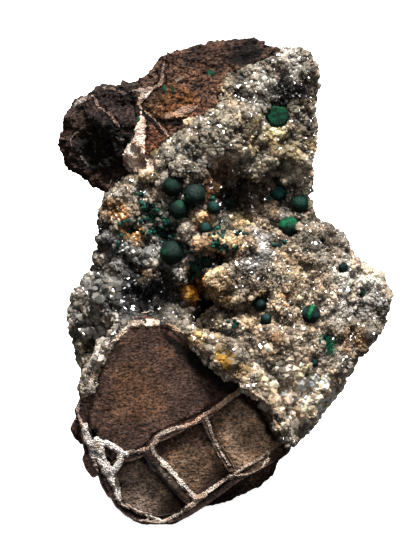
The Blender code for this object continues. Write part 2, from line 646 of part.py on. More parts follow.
def split_ball(tree):
    """A ball that broke across: its radiating fibres show on the flat side."""
    across, up, radius = SPLIT_BALL
    whole = ball("malachite_split_ball", tree, across, up, radius, sink=0.9)
    shape = bmesh.new()
    shape.from_mesh(whole.data)
    bpy.data.objects.remove(whole)
    middle = sum((vertex.co for vertex in shape.verts), Vector()) / len(shape.verts)
    cut = bmesh.ops.bisect_plane(shape, geom=shape.verts[:] + shape.edges[:] + shape.faces[:], dist=CUT_WELD * MM,
                                 plane_co=middle + Vector((0, 0, radius * 0.15 * MM)),
                                 plane_no=(0.15, -0.2, 1), clear_outer=True)
    rim = [item for item in cut["geom_cut"] if isinstance(item, bmesh.types.BMEdge)]
    bmesh.ops.contextual_create(shape, geom=rim)
    return from_bmesh("malachite_split_ball", shape)


def spray(tree):
    """Short needles that fan out of one point."""
    chance = random.Random(SEED + 2)
    point, _ = surface_at(tree, *SPRAY)
    pieces = [lump("malachite_spray", point, (SPRAY_ROOT,) * 3, subdivisions=1)]
    for step in range(SPRAY_NEEDLES):
        turn = math.radians(-60 + 150 * step / (SPRAY_NEEDLES - 1))
        along = Vector((math.sin(turn), math.cos(turn), chance.uniform(1.3, 1.9))).normalized()
        length = chance.uniform(2.0, 2.8)
        shape = bmesh.new()
        bmesh.ops.create_cone(shape, cap_ends=True, segments=4, radius1=0.32, radius2=0.12, depth=length)
        place = Matrix.Translation(point + along * length / 2) @ along.to_track_quat("Z", "Y").to_matrix().to_4x4()
        bmesh.ops.transform(shape, matrix=Matrix.Scale(MM, 4) @ place, verts=shape.verts)
        pieces.append(from_bmesh("needle", shape))
    return united("malachite_spray", pieces)


def beads(name, tree, across, up, chance):
    """A few small balls grown together."""
    level = surface_at(tree, across, up)[0].z
    pieces = []
    for step in range(BEADS_IN_GROUP):
        turn = math.tau * step / BEADS_IN_GROUP + chance.uniform(-0.3, 0.3)
        place = (across + BEAD_SPREAD * math.cos(turn), up + BEAD_SPREAD * math.sin(turn), level)
        pieces.append(ball_at(name, place, chance.uniform(*BEAD_SIZES)))
    return united(name, pieces)


def malachite(tree):
    """Every malachite piece with the socket that it leaves in the druse."""
    chance = random.Random(SEED + 3)
    pieces = []
    for number, (across, up, radius) in enumerate(BALLS, 1):
        pieces.append((ball(f"malachite_ball_{number:02d}", tree, across, up, radius), radius))
    for number, (across, up) in enumerate(BEADS, 1):
        group = beads(f"malachite_beads_{number:02d}", tree, across, up, chance)
        pieces.append((group, BEAD_SPREAD + BEAD_SIZES[1]))
    pieces.append((split_ball(tree), SPLIT_BALL[2]))
    pieces.append((spray(tree), SPRAY_ROOT + SEAM))
    return pieces


def socket(piece, radius):
    """A faceted hollow that leaves the seam clear all round the piece, or round the spray's root."""
    corners = [Vector(corner) / MM for corner in piece.bound_box]
    centre = (corners[0] + corners[6]) / 2
    if piece.name == "malachite_spray":
        centre = Vector((*SPRAY, centre.z))
    return lump("socket", centre, ((radius + SEAM) * SOCKET_ROOM,) * 3, subdivisions=1)


def material(name, colour, roughness):
    made = bpy.data.materials.new(name)
    made.use_nodes = True
    surface = made.node_tree.nodes["Principled BSDF"]
    surface.inputs["Base Color"].default_value = (*colour, 1)
    surface.inputs["Roughness"].default_value = roughness
    return made


def stand(pieces):
    """Stands the pieces on the flat foot, with the middle of their box's underside at the origin."""
    collection = bpy.data.collections.new("malachite_specimen")
    bpy.context.scene.collection.children.link(collection)
    holder = bpy.data.objects.new("stand", None)
    collection.objects.link(holder)
    holder.rotation_euler.x = math.radians(90 - LEAN_BACK)
    turn = holder.rotation_euler.to_matrix()
    corners = [turn @ vertex.co for piece in pieces for vertex in piece.data.vertices]
    lowest = [min(values) for values in zip(*corners)]
    highest = [max(values) for values in zip(*corners)]
    holder.location = (-(lowest[0] + highest[0]) / 2, -(lowest[1] + highest[1]) / 2, -lowest[2])
    for piece in pieces:
        bpy.context.scene.collection.objects.unlink(piece)
        collection.objects.link(piece)
        piece.parent = holder
        family = next(name for name in MATERIALS if name in piece.name)
        piece.data.materials.clear()
        piece.data.materials.append(bpy.data.materials.get(family) or material(family, *MATERIALS[family]))
    return holder


def main():
    clear_scene()
    stone = worked_stone()
    skin = tree_of(stone)
    rock = copy_of(stone, "host_rock")
    core = core_of(stone, DRUSE_THICKNESS)
    lost = boolean(druse_prism(0.0), grown(core, "inner_core", -SEAM), "DIFFERENCE")
    rock = boolean(rock, lost, "DIFFERENCE")
    rock = boolean(rock, flattened(united("face", face_cutters())), "DIFFERENCE")
    rock = flattened(largest_island(rock))

    druse = boolean(stone, druse_prism(SEAM), "INTERSECT")
    for batch in crystal_batches(skin):
        druse = boolean(druse, batch, "UNION")
    druse = largest_island(boolean(druse, core, "DIFFERENCE"))
    druse.name = "quartz_druse"

    bare = tree_of(rock)
    routes = {"block_veins": block_vein_routes(), "lobe_veins": surface_vein_routes(bare, LOBE_VEINS),
              "nodule_vein": surface_vein_routes(bare, NODULE_VEINS)}
    veins = [network(name, paths, *VEIN_BUILD[name], 0.0) for name, paths in routes.items()]
    slots = [network("slot", paths, *VEIN_BUILD[name], SLOT_MARGIN) for name, paths in routes.items()]
    slots = joined("slots", slots)
    rock = boolean(rock, copy_of(slots, "rock_slots"), "DIFFERENCE")
    druse = boolean(druse, slots, "DIFFERENCE")
    greens, sizes = zip(*malachite(skin))
    druse = boolean(druse, united("sockets", [socket(*pair) for pair in zip(greens, sizes)]), "DIFFERENCE")
    return stand([largest_island(rock), largest_island(druse), *veins, *greens])


main()
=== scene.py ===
import math

import bmesh
import bpy
import numpy as np
from mathutils import Matrix, Vector
from mathutils.bvhtree import BVHTree


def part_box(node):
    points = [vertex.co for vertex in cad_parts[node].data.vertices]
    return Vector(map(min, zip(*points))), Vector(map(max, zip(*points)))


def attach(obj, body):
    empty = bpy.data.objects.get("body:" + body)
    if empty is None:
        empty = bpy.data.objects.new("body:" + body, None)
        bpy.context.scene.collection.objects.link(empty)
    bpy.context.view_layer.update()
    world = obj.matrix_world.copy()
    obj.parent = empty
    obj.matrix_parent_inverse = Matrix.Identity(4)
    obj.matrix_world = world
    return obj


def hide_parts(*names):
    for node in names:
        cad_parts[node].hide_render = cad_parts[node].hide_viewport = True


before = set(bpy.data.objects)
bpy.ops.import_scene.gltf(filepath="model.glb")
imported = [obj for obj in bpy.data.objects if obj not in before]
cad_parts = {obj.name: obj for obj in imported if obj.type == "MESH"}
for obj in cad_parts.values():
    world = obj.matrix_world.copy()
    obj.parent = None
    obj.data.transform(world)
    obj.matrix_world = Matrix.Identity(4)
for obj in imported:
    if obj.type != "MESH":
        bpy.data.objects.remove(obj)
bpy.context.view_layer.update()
mm = 0.001

# The specimen's show face, as the part's source has it: x across, y up the face, z out of it, in mm.
stand = {"turn": 75.0, "place": (-3.5681, -12.7154, -3.8)}
standing = Matrix.Translation(Vector(stand["place"]) * mm) @ Matrix.Rotation(math.radians(stand["turn"]), 4, "X")
laidFlat = np.array(standing.inverted())
faceOut = np.array(standing)[:3, 2]

# The camera looks straight at the show face. Colours and small pieces are placed where it sees them, on a
# plane a little above the middle of the face. In mm, apart from the picture's height in pixels.
view = {"up": 49.6, "distance": 600.0, "plane": 6.0, "pixel": 0.2, "pixels": 554, "sensor": 36}
eye = np.array([0.0, view["up"], view["distance"]])


def onFace(points):  # world metres to millimetres on the show face
    return (np.asarray(points) @ laidFlat[:3, :3].T + laidFlat[:3, 3]) / mm


def toWorld(points):
    turn = np.array(standing)
    return (np.asarray(points) * mm) @ turn[:3, :3].T + turn[:3, 3]


def seenAt(points):  # where each place of the show face is seen on that plane, with its own height
    share = (eye[2] - view["plane"]) / (eye[2] - points[:, 2])
    return np.c_[eye[:2] + (points[:, :2] - eye[:2]) * share[:, None], points[:, 2]]


def seenSurface(trees, spots):  # the first surface met when looking at each spot
    start = Vector(toWorld([eye])[0])
    aims = toWorld(np.c_[spots, np.full(len(spots), view["plane"])])
    ways = unit(aims - np.array(start))
    distances = np.full(len(spots), np.inf)
    for index, way in enumerate(ways):
        for tree in trees:
            distance = tree.ray_cast(start, Vector(way))[3]
            if distance is not None:
                distances[index] = min(distances[index], distance)
    return np.array(start), ways, distances


def insideStrokes(spots, strokes):  # how far inside the nearest stroke each spot is, and that stroke's colour
    best, which = np.full(len(spots), -9.0), np.zeros(len(spots), dtype=int)
    for number, (_, line) in enumerate(strokes):
        for here, there in zip(np.array(line), np.array(line[1:])):  # across, up and width there
            way = (there - here)[:2]
            share = np.clip((spots[:, :2] - here[:2]) @ way / (way @ way), 0, 1)
            away = np.linalg.norm(spots[:, :2] - here[:2] - share[:, None] * way, axis=1)
            inside = (here[2] + (there[2] - here[2]) * share) / 2 - away
            closer = inside > best
            best[closer], which[closer] = inside[closer], number
    return best, np.array([linear(colour) for colour, _ in strokes])[which]


def unit(ways):
    return ways / np.linalg.norm(ways, axis=-1, keepdims=True)


def fade(values, start, width):  # 0 at the start, and 1 from a width further on
    return np.clip((values - start) / width, 0, 1)


def mixed(first, second, share):
    return first * (1 - share) + second * share


def linear(colour):  # sRGB hex to linear
    values = [int(colour[place:place + 2], 16) / 255 for place in (1, 3, 5)]
    return np.array([value / 12.92 if value <= 0.04045 else ((value + 0.055) / 1.055) ** 2.4 for value in values])


def softSpot(points, across, up, radius, edge=0.45):  # 1 in a round spot on the show face, fading to 0 at its rim
    return fade(np.hypot(points[:, 0] - across, points[:, 1] - up) / radius, 1, -edge)


def wavering(points, scale, seed):  # cheap smooth noise, about as coarse as the scale in mm
    rng = np.random.default_rng(seed)
    total = np.zeros(len(points))
    for octave in range(3):
        turns = rng.normal(size=(4, 3)) * (2 ** octave) / scale
        for turn in turns:
            total += np.sin(points @ turn * 2.2 + rng.uniform(0, 6.3)) / (2 ** octave)
    return total / 3


def zoneColours(points, table, drift=1.1):  # in mm: the edges of the zones wander so far
    moved = seenAt(points)[:, :2] + np.stack([wavering(points, 5, 5), wavering(points, 5, 6)], axis=1) * drift
    colours = np.tile(linear(table["ground"]), (len(points), 1))
    for across, up, radius, colour, strength in table["zones"]:
        colours = mixed(colours, linear(colour), softSpot(moved, across, up, radius)[:, None] * strength)
    return colours


def addNode(tree, kind, settings=None, links=None):
    made = tree.nodes.new("ShaderNode" + kind)
    for key, value in (settings or {}).items():
        if isinstance(key, str) and hasattr(made, key):
            setattr(made, key, value)
        else:
            made.inputs[key].default_value = value
    for key, source in (links or {}).items():
        tree.links.new(source, made.inputs[key])
    return made


def newMaterial(name, settings):
    material = bpy.data.materials.new(name)
    material.use_nodes = True
    for key, value in settings.items():
        material.node_tree.nodes["Principled BSDF"].inputs[key].default_value = value
    return material, material.node_tree


def finished(material, colour, height=None, settings=None):  # settings of the bump, its distance in metres
    tree = material.node_tree
    wanted = tree.nodes["Principled BSDF"].inputs
    tree.links.new(colour, wanted["Base Color"])
    if height:
        tree.links.new(addNode(tree, "Bump", settings, {"Height": height}).outputs["Normal"], wanted["Normal"])
    return material


def objectPlace(tree):
    return addNode(tree, "TexCoord").outputs["Object"]


def attribute(tree, name, output="Color"):
    return addNode(tree, "Attribute", {"attribute_name": name}).outputs[output]


def noise(tree, place, scale, detail, roughness=0.5):
    settings = {"Scale": scale, "Detail": detail, "Roughness": roughness}
    return addNode(tree, "TexNoise", settings, {"Vector": place}).outputs["Fac"]


def mapped(tree, value, before, after):  # from one range to another
    settings = {"From Min": before[0], "From Max": before[1], "To Min": after[0], "To Max": after[1]}
    return addNode(tree, "MapRange", settings, {"Value": value}).outputs["Result"]


def scaled(tree, colour, factor):
    return addNode(tree, "VectorMath", {"operation": "SCALE"}, {0: colour, "Scale": factor}).outputs["Vector"]


def stained(tree, colour, factors, amount):  # so far towards the colour times the factors
    stainAndShade = addNode(tree, "VectorMath", {"operation": "MULTIPLY", 1: factors}, {0: colour}).outputs["Vector"]
    mix = addNode(tree, "Mix", {"data_type": "RGBA"}, {"Factor": amount, "A": colour, "B": stainAndShade})
    return mix.outputs["Result"]


def newPiece(name, data):
    piece = bpy.data.objects.new(name, data)
    bpy.context.scene.collection.objects.link(piece)
    return piece


def meshPiece(name, points, faces):
    mesh = bpy.data.meshes.new(name)
    mesh.from_pydata(points, [], faces)
    return newPiece(name, mesh)


def pick(*pieces):  # the first of them becomes the active one
    bpy.ops.object.select_all(action="DESELECT")
    for piece in pieces:
        piece.select_set(True)
    bpy.context.view_layer.objects.active = pieces[0]


def edited(piece, action, **settings):  # one edit of its whole mesh
    pick(piece)
    bpy.ops.object.mode_set(mode="EDIT")
    bpy.ops.mesh.select_all(action="SELECT")
    action(**settings)
    bpy.ops.object.mode_set(mode="OBJECT")


def applied(piece, kind, settings):
    pick(piece)
    modifier = piece.modifiers.new(kind.lower(), kind)
    for key, value in settings.items():
        setattr(modifier, key, value)
    bpy.ops.object.modifier_apply(modifier=modifier.name)


def remeshed(piece, cell):  # the cell in mm
    applied(piece, "REMESH", {"mode": "VOXEL", "voxel_size": cell * mm})


def roughened(piece, scale, height, group="", kind="CLOUDS", mid=0.5, depth=2):  # scale and height in mm
    texture = bpy.data.textures.new(kind.lower(), kind)
    texture.noise_scale = scale * mm
    if kind == "CLOUDS":
        texture.noise_depth = depth
    applied(piece, "DISPLACE", {"texture": texture, "texture_coords": "LOCAL", "mid_level": mid,
                                "strength": height * mm, "vertex_group": group})


def copyOfNode(nodeName, pieceName):
    piece = newPiece(pieceName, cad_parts[nodeName].data.copy())
    edited(piece, bpy.ops.mesh.remove_doubles, threshold=0.00001)
    piece.data.materials.clear()
    return piece


def addSphere(radius, place, fineness):
    bpy.ops.mesh.primitive_ico_sphere_add(subdivisions=fineness, radius=radius, location=place)
    return bpy.context.object


def meshPoints(piece, kind="co"):
    flat = np.empty(len(piece.data.vertices) * 3)
    piece.data.vertices.foreach_get(kind, flat)
    return flat.reshape(-1, 3)


def treeOf(piece):
    shape = bmesh.new()
    shape.from_mesh(piece.data)
    tree = BVHTree.FromBMesh(shape)
    shape.free()
    return tree


def paintGroup(piece, name, weights, steps=20):  # a vertex group, in steps of weight
    group = piece.vertex_groups.new(name=name)
    levels = np.round(np.clip(weights, 0, 1) * steps).astype(int)
    for level in range(1, steps + 1):
        chosen = np.nonzero(levels == level)[0]
        if len(chosen):
            group.add(chosen.tolist(), level / steps, "REPLACE")


def paint(piece, name, colours):
    layer = piece.data.color_attributes.new(name=name, type="FLOAT_COLOR", domain="POINT")
    filled = np.ones((len(colours), 4))
    filled[:, :3] = colours
    layer.data.foreach_set("color", filled.ravel())


def finishPiece(piece, material, slot, *nodes):
    piece.data.materials.append(material)
    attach(piece, "root")
    if nodes:
        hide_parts(*nodes)


rock = {
    "cell": 0.48,  # size of the fine mesh, mm
    "relief": [  # area, size and height of its lumps in mm, and how many finer noises they carry
        ("nodule", 3.6, 3.0, 2), ("nodule", 1.2, 1.7, 2), ("lobe", 2.4, 1.8, 2), ("lobe", 0.9, 1.4, 2),
        ("front", 0.8, 0.3, 3), ("rest", 2.6, 0.9, 2), ("rest", 1.0, 0.6, 2),
    ],
    "grain": (1700.0, 5.0, 0.75), "patches": (300.0, 6.0, 0.7), "pits": (1350.0, 2.0, 0.6),  # noises
    "rust": (1.7, 1.42, 1.12),  # what rust does to the colour
    "ground": "#35261f",
    "zones": [  # across, up, radius, colour, strength
        # (-22, 75.8) and (-17.2, 75): the nodule's lower part near black, its own dark colour with painted shade of
        # a hollow that faces down
        (-21, 84, 10, "#211815", 1), (-22, 75.8, 7.2, "#100c0a", 1), (-17.2, 75, 4.8, "#110c0a", 0.9),
        (-25.2, 80.6, 2, "#2c201a", 0.7), (-3.6, 90, 9.6, "#3c2a20", 0.9), (3.4, 95, 6.8, "#31221b", 0.9),
        # (7.4, 94): painted shade in the hollow under the knob on the top
        (7.4, 94, 3.6, "#100b09", 0.9), (-0.6, 86.6, 6.8, "#463124", 0.85), (-7.2, 84.2, 5.6, "#50311a", 0.9),
        (-4.8, 84.6, 2.6, "#5d3a1e", 0.7), (-10, 84.6, 2.8, "#46321f", 0.7), (-11.6, 77, 3.6, "#45281a", 0.9),
        (-5.2, 79.4, 2.4, "#2a1811", 0.8), (-10, 25, 17, "#403029", 0.9), (-14.6, 26, 7.6, "#523928", 0.6),
        # (6.4, 17): the right panel lightened against the crust's shade on it, painted light
        (-1.6, 28, 5.2, "#382b26", 0.7), (-6, 35, 6, "#3d2b21", 0.5), (6.4, 17, 8.8, "#866f5b", 0.95),
        # (4, 6): painted shade on the underside below the block
        (-3.6, 12, 5.2, "#574536", 0.8), (-11.6, 8, 6.8, "#6c5d52", 0.95), (4, 6, 6.4, "#221813", 0.9),
        (-26.4, 18.4, 2.8, "#4a3526", 0.9), (-4.8, 84.4, 1.4, "#6e4423", 0.7), (-0.8, 88.6, 1.4, "#20140f", 0.6),
        (-8.2, 93.6, 2.8, "#2a1d17", 0.7), (-3.4, 94.2, 2.6, "#2c1f19", 0.7), (1.4, 93, 2.2, "#2b1e18", 0.6),
        (-9, 90.6, 1.8, "#2c1f18", 0.7), (8, 97.2, 1.8, "#4a3428", 0.7), (4.2, 90.6, 2.2, "#4a3629", 0.6),
    ],
    "cracksAndShadows": [  # colour, then places along the line with the width there, mm: dark cracks, and painted shadows in hollows, gaps and under edges
        ("#050302", [(-14.2, 83.6, 0.6), (-11.6, 81.4, 1), (-9.4, 80.6, 1), (-5.6, 80.6, 1), (-2.2, 81.2, 0.8)]),
        ("#050302", [(-11.6, 81.4, 0.6), (-9.6, 79.4, 0.6), (-7.8, 77.4, 0.4)]),
        # painted shade in the hollow under the knob on the top
        ("#070403", [(4.6, 93, 1.2), (7.6, 93.4, 1.6), (10.8, 95, 1.2)]),
        # painted shadow beside the thick white vein on the lower panel
        ("#0d0806", [(-12.8, 13.8, 0.8), (-10.4, 11, 1.1), (-7.8, 7.8, 1.1), (-5.2, 5, 0.9)]),
        ("#120c0a", [(-0.2, 20.6, 0.4), (0.8, 17, 0.4), (4, 11.8, 0.4)]),
        # painted shadow that the crust's edge casts on the face
        ("#0b0705", [(-8.8, 38.2, 0.9), (-5.2, 35, 2.1), (-1.2, 31.4, 2.7), (2.8, 27.8, 2.2), (6, 26.6, 1)]),
        # painted shadow of the crust's edge, on the right panel
        ("#0b0705", [(6.8, 25.4, 0.8), (10, 23, 1.5), (11.8, 19.8, 1.5), (13.2, 17, 0.9)]),
        ("#040302", [(-22.6, 19, 1.2), (-22.2, 15.8, 1)]),
        ("#0a0604", [(-19.8, 14.6, 1), (-19.6, 12.8, 0.6)]),
        ("#040302", [(-22, 12, 0.8), (-21.2, 9.4, 0.6)]),
        # painted shade in the gap between the bottom rim and the underside
        ("#0a0605", [(-17.2, 3.8, 0.8), (-14.4, 1.8, 1), (-11.6, 1.2, 0.6)]),
        ("#0b0706", [(-22.8, 28, 0.8), (-22.2, 26.8, 0.8), (-21.6, 26.2, 0.6)]),
    ],
}


def rockAreas(points):  # how much each place belongs to each area, by where it is on the show face
    across, up, out = points.T
    nodule = fade(-12.5 - across + (up - 80) * 0.1, 0, 2) * fade(up, 66, 2)
    lobe = fade(up, 71, 3) * (1 - nodule) * fade(out, -9, 3)
    front = fade(out, 9, 2) * fade(up, 42, -2)
    return {"nodule": nodule, "lobe": lobe, "front": front, "rest": 1 - np.clip(nodule + lobe + front, 0, 1)}


def buildRock():
    piece = copyOfNode("host_rock", "hostRock")
    remeshed(piece, rock["cell"])
    for name, weights in rockAreas(onFace(meshPoints(piece))).items():
        paintGroup(piece, name, weights)
    for group, scale, height, depth in rock["relief"]:
        roughened(piece, scale, height, group, depth=depth)
    paintRock(piece)
    finishPiece(piece, rockMaterial(), "host_rock", "host_rock")
    return piece


def paintRock(piece, shade=1):
    points = onFace(meshPoints(piece))
    behind = (fade(points[:, 2], -3, -6) * fade(points[:, 1], 60, -6))[:, None]  # plain ground colour there
    # The zones carry the rock's own colours, with painted shade in hollows and on the underside, and painted light
    # on the right panel.
    colours = mixed(zoneColours(points, rock), linear(rock["ground"]), behind)
    colours = colours * np.exp(0.35 * wavering(points, 3, 73) + 0.3 * wavering(points, 1.1, 74))[:, None]
    # Its dark lines are cracks, and painted shadows in hollows, gaps and under edges.
    inside, dark = insideStrokes(seenAt(points) + wavering(points, 1.5, 8)[:, None] * 0.15, rock["cracksAndShadows"])
    weight = np.clip(inside / 0.5 + 0.5, 0, 1)[:, None] * (points[:, 2:3] > -4)
    paint(piece, "stainAndShade", mixed(colours, dark, weight) * shade)
    pitting = 1 - 0.65 * rockAreas(points)["front"]  # the smooth panels have fewer pits
    paint(piece, "pitting", np.repeat(pitting[:, None], 3, axis=1))


def rockMaterial():
    # Iron-rich siliceous rock, broken by hand: dull, fine-grained and pitted, rusty where water has run.
    material, tree = newMaterial("ironRichRock", {"Roughness": 0.95, "IOR": 1.5, "Specular IOR Level": 0.15})
    squash = addNode(tree, "Mapping", {"Scale": (1.0, 1.0, 1.6)}, {"Vector": objectPlace(tree)}).outputs["Vector"]
    grain, patches, pits = (noise(tree, squash, *rock[name]) for name in ("grain", "patches", "pits"))
    # Painted shade: the colour is darkened in the pits, the tiny holes.
    hole = addNode(tree, "Math", {"operation": "MULTIPLY"},
                   {0: mapped(tree, pits, (0.5, 0.38), (0.0, 0.85)), 1: attribute(tree, "pitting", "Fac")})
    left = addNode(tree, "Math", {"operation": "SUBTRACT", 0: 1.0}, {1: hole.outputs["Value"]}).outputs["Value"]
    toned = scaled(tree, attribute(tree, "stainAndShade"), mapped(tree, grain, (0.41, 0.6), (0.2, 2.0)))
    rusty = stained(tree, toned, rock["rust"], mapped(tree, patches, (0.48, 0.7), (0.0, 0.6)))
    relief = addNode(tree, "Math", {"operation": "MULTIPLY_ADD", 1: 0.6}, {0: grain, 2: left}).outputs["Value"]
    return finished(material, scaled(tree, rusty, left), relief, {"Strength": 0.9, "Distance": 0.0003})


druse = {
    "cell": 0.45,  # size of the fine mesh, mm
    "relief": [(3.0, 1.5, "VORONOI", 0.4), (1.1, 1.0, "CLOUDS", 0.5)],  # size, height, kind, level that stays
    "rays": {"count": 7, "spread": 0.6, "reach": 0.009},  # to find how open each place is; reach in metres
    "facets": 2400.0,  # tiny facets of the roots in a metre
    "ground": "#9a8f80",
    "zones": [  # across, up, radius, colour, strength
        (-16, 50, 14, "#82807b", 0.9), (-22, 44, 7.2, "#7d7b76", 0.8), (-16.6, 39, 6.4, "#7a7976", 0.7),
        # (-11.6, 47.6) and (-0.6, 43.2): painted shade in the valley and under the orange cluster
        (14, 46, 16, "#b6a38a", 0.85), (-11.6, 47.6, 7.6, "#0d0b0a", 0.95), (-0.6, 43.2, 3.6, "#231a14", 0.9),
        # (3.2, 53.8): painted shade beside the orange cluster
        (3.2, 53.8, 2.2, "#14100d", 0.9), (-2, 52.2, 2.8, "#0c1512", 0.9), (-6.8, 59.4, 2.8, "#0e0d0b", 0.8),
        (-18.2, 62.6, 3.2, "#a9763a", 0.75), (-17, 58.6, 2, "#b0803c", 0.7), (-14.4, 57.8, 2.4, "#c08c44", 0.8),
        # (-3.2, 46.8) and (-1.2, 48.8): the orange cluster, its own colour brightened further as painted light
        # where it sits in shade
        (0.6, 46.6, 2.4, "#dcbf94", 0.8), (-3.2, 46.8, 2.8, "#ffae3c", 0.95), (-1.2, 48.8, 2.4, "#ffb44a", 0.95),
        (-12.4, 53.6, 3.2, "#83817b", 0.8), (-11.6, 50.6, 2.4, "#8a7560", 0.5), (-14.8, 66.6, 2, "#b5b3ae", 0.5),
        (-0.8, 61, 2.8, "#b98f66", 0.85), (6.8, 61.4, 3.2, "#c4ad80", 0.85), (2.8, 56.6, 4, "#c0a07a", 0.85),
        # (1.8, 48): a tan lump brightened as painted light where it sits in shade; (4, 67): painted shade in the
        # vug
        (-1.6, 55.8, 2.2, "#ab8662", 0.8), (1.8, 48, 3.4, "#fad6a8", 0.9), (4, 67, 7.2, "#2a1e17", 0.9),
        (0.4, 68.6, 3.2, "#6e4a26", 0.7), (4, 71.4, 2.8, "#8a5a2c", 0.75), (10.8, 70, 5.2, "#5a4636", 0.6),
        (12, 64, 2.8, "#8a7258", 0.7), (-4, 69.4, 2, "#cbbba5", 0.8), (15, 50, 6, "#ab967b", 0.8),
        (9.4, 52.6, 4, "#8c8b89", 0.85), (10.8, 57, 2.8, "#9c9a98", 0.7), (8, 55.8, 2.4, "#9c8c78", 0.7),
        (11, 80, 14, "#8f8472", 0.9), (14.2, 77.4, 3.4, "#978862", 0.7), (18.4, 74.6, 3.2, "#94804f", 0.5),
        (13.4, 91.4, 6, "#b3ab9f", 0.8), (5, 82, 6, "#988d7b", 0.8), (-6, 75, 6.4, "#8a8173", 0.8),
        (3.6, 87.4, 2, "#b8ab94", 0.7), (-0.4, 83, 2, "#b3a58f", 0.7), (-4.4, 80, 2, "#b8a88e", 0.7),
        (-8.2, 77.4, 1.8, "#b8a584", 0.7), (-11, 75.6, 1.4, "#b09552", 0.7), (9.4, 81, 1.8, "#a8925e", 0.6),
        # (15.4, 85.8) and (12, 85.4): painted shade in the hollow under the top
        (-11.6, 70.6, 2.8, "#a3916a", 0.6), (15.4, 85.8, 5, "#0f0c0a", 0.98), (12, 85.4, 2.8, "#14100d", 0.9),
        # (19.2, 86.2): painted shade in the same hollow
        (19.2, 86.2, 3.6, "#15110e", 0.9), (7.4, 87.4, 3.2, "#57544f", 0.6), (18.8, 80.6, 2.8, "#4a443f", 0.7),
        (30, 46, 9, "#d2cabd", 0.9), (26, 55, 6, "#9a9186", 0.8), (8.8, 75.4, 1.8, "#b39a63", 0.5),
        # (-21.2, 40.6): lightened against the shade under the crust's edge, painted light
        (24.8, 57.4, 3.2, "#665c53", 0.6), (12, 22.6, 3.8, "#5d554b", 0.85), (-21.2, 40.6, 4.4, "#cdc5ba", 0.9),
        # (2.8, 45.8): a tan lump brightened as painted light where it sits in shade
        (14.8, 49.8, 5.2, "#cdbb9f", 0.5), (22.4, 50, 4.4, "#7d705f", 0.6), (2.8, 45.8, 2, "#d8ac76", 0.7),
        (15.2, 90.6, 2.8, "#c4bbb0", 0.5), (11, 86, 3.6, "#99948b", 0.6), (15.2, 91, 3.2, "#b3aba0", 0.5),
        (29.4, 38, 3.6, "#b58c5c", 0.6), (32.8, 45, 4, "#c4bfb6", 0.6), (2.8, 34, 2.4, "#997a34", 0.8),
        (1.6, 40.6, 3.2, "#a08d73", 0.9), (14, 37.4, 1.8, "#a87648", 0.6), (16.4, 44.6, 1.6, "#a5723f", 0.5),
        (-21.8, 55, 2.4, "#4f392b", 0.8), (-20.4, 63.4, 1.2, "#5a4130", 0.7), (-21.2, 59.4, 1.4, "#4a3528", 0.8),
        (-22.4, 51.4, 1.4, "#4a3729", 0.8), (-3, 38, 2.4, "#a08450", 0.7), (6.4, 30.6, 2.4, "#8a6c3c", 0.7),
        (12, 28, 5, "#bcae97", 0.8), (20, 27, 7.2, "#fce4c8", 0.95), (-20, 31, 4.8, "#bdb4a8", 0.8),
        (-16, 38.6, 2.8, "#a39484", 0.6), (2.4, 38, 2.8, "#7d6f5c", 0.8), (2.7, 33.9, 1.7, "#b48c36", 0.95),
        (15, 91.4, 3.6, "#cfc7ba", 0.8), (-9.6, 62.6, 2.8, "#2b4640", 0.5), (-7.6, 57.8, 2.8, "#243a33", 0.5),
        (2.8, 59.4, 2.4, "#33413c", 0.6),
    ],
    "sizes": [  # across, up, radius, size factor of the crystals
        (-22, 42, 10, 1.45), (-17, 52, 9, 1.25), (14, 46, 13, 0.85), (15, 50, 6, 0.8), (6, 78, 9, 1.1),
        (15, 28, 10, 1.6), (3, 34, 4, 1.6), (29, 46, 8, 0.9), (-3, 47, 3, 1.3),
    ],
    "lumps": [  # across, up, radius, how far it stands out: knobs of sugary quartz on the crust
        (-1.8, 61, 1.4, 0.3), (0, 61.4, 1.4, 1.3), (5.6, 60.6, 1.4, 1.4), (8, 62, 1.5, 1.4), (-1.6, 55.8, 1.4, 1.4),
        (1.2, 56.8, 1.6, 1.8), (3.8, 56.4, 1.6, 1.8), (8, 55.6, 1.8, 1.3), (1.6, 48.8, 1.8, 2.4),
        (0.8, 46.4, 1.3, 2.4), (2.6, 46, 1.5, 2.2), (4.8, 45.4, 1.6, 1.8), (3.6, 50, 1.4, 2),
        (-3.4, 45.6, 1.2, 2.6), (-2, 47.6, 1.2, 3), (-0.8, 49.2, 1, 3), (-4.2, 47, 0.8, 2.4),
        (-12.4, 53.6, 2.6, 0.3), (-13.6, 55.8, 1.6, 0), (13.4, 44.4, 1.6, 1.6), (15.2, 41.6, 1.7, 1.6),
        (1.4, 40.4, 2.2, 1.8), (-1.2, 39, 1.6, 1.3), (4.8, 39, 1.8, 1.6), (14.8, 25.4, 2.2, 0.3),
        (17.6, 23.4, 1.8, 0.3), (12, 28.2, 2, 0.3), (12, 64, 1.6, 1.4), (-11.6, 69.8, 1.6, 0.2),
        (-14.4, 68.2, 1.6, 0.2), (-16.8, 65.8, 1.4, 0.2), (-25, 45, 1.6, 0.2), (-25.6, 41.4, 1.6, 0.2),
        (-24.4, 38.2, 1.4, 0.2), (-25.2, 47.8, 1.4, 0.2), (-5.6, 71, 1.6, 1.3), (-2.4, 70.6, 1.6, 1.3),
    ],
    "scatter": {  # more small knobs all over the crust, all in mm
        "count": 90, "radii": (0.8, 1.6), "across": (-22, 34), "up": (20, 92), "lift": 0.2, "seed": 17},
}


def mottled(points, colours):  # no patch of a crust has quite the colour of the next
    lighter = np.exp(0.45 * wavering(points, 5, 71))[:, None]
    warm = np.clip(wavering(points, 3.5, 72) * 1.2, 0, 0.8)[:, None]
    return colours * lighter * (1 + warm * np.array([0.06, -0.07, -0.2]))


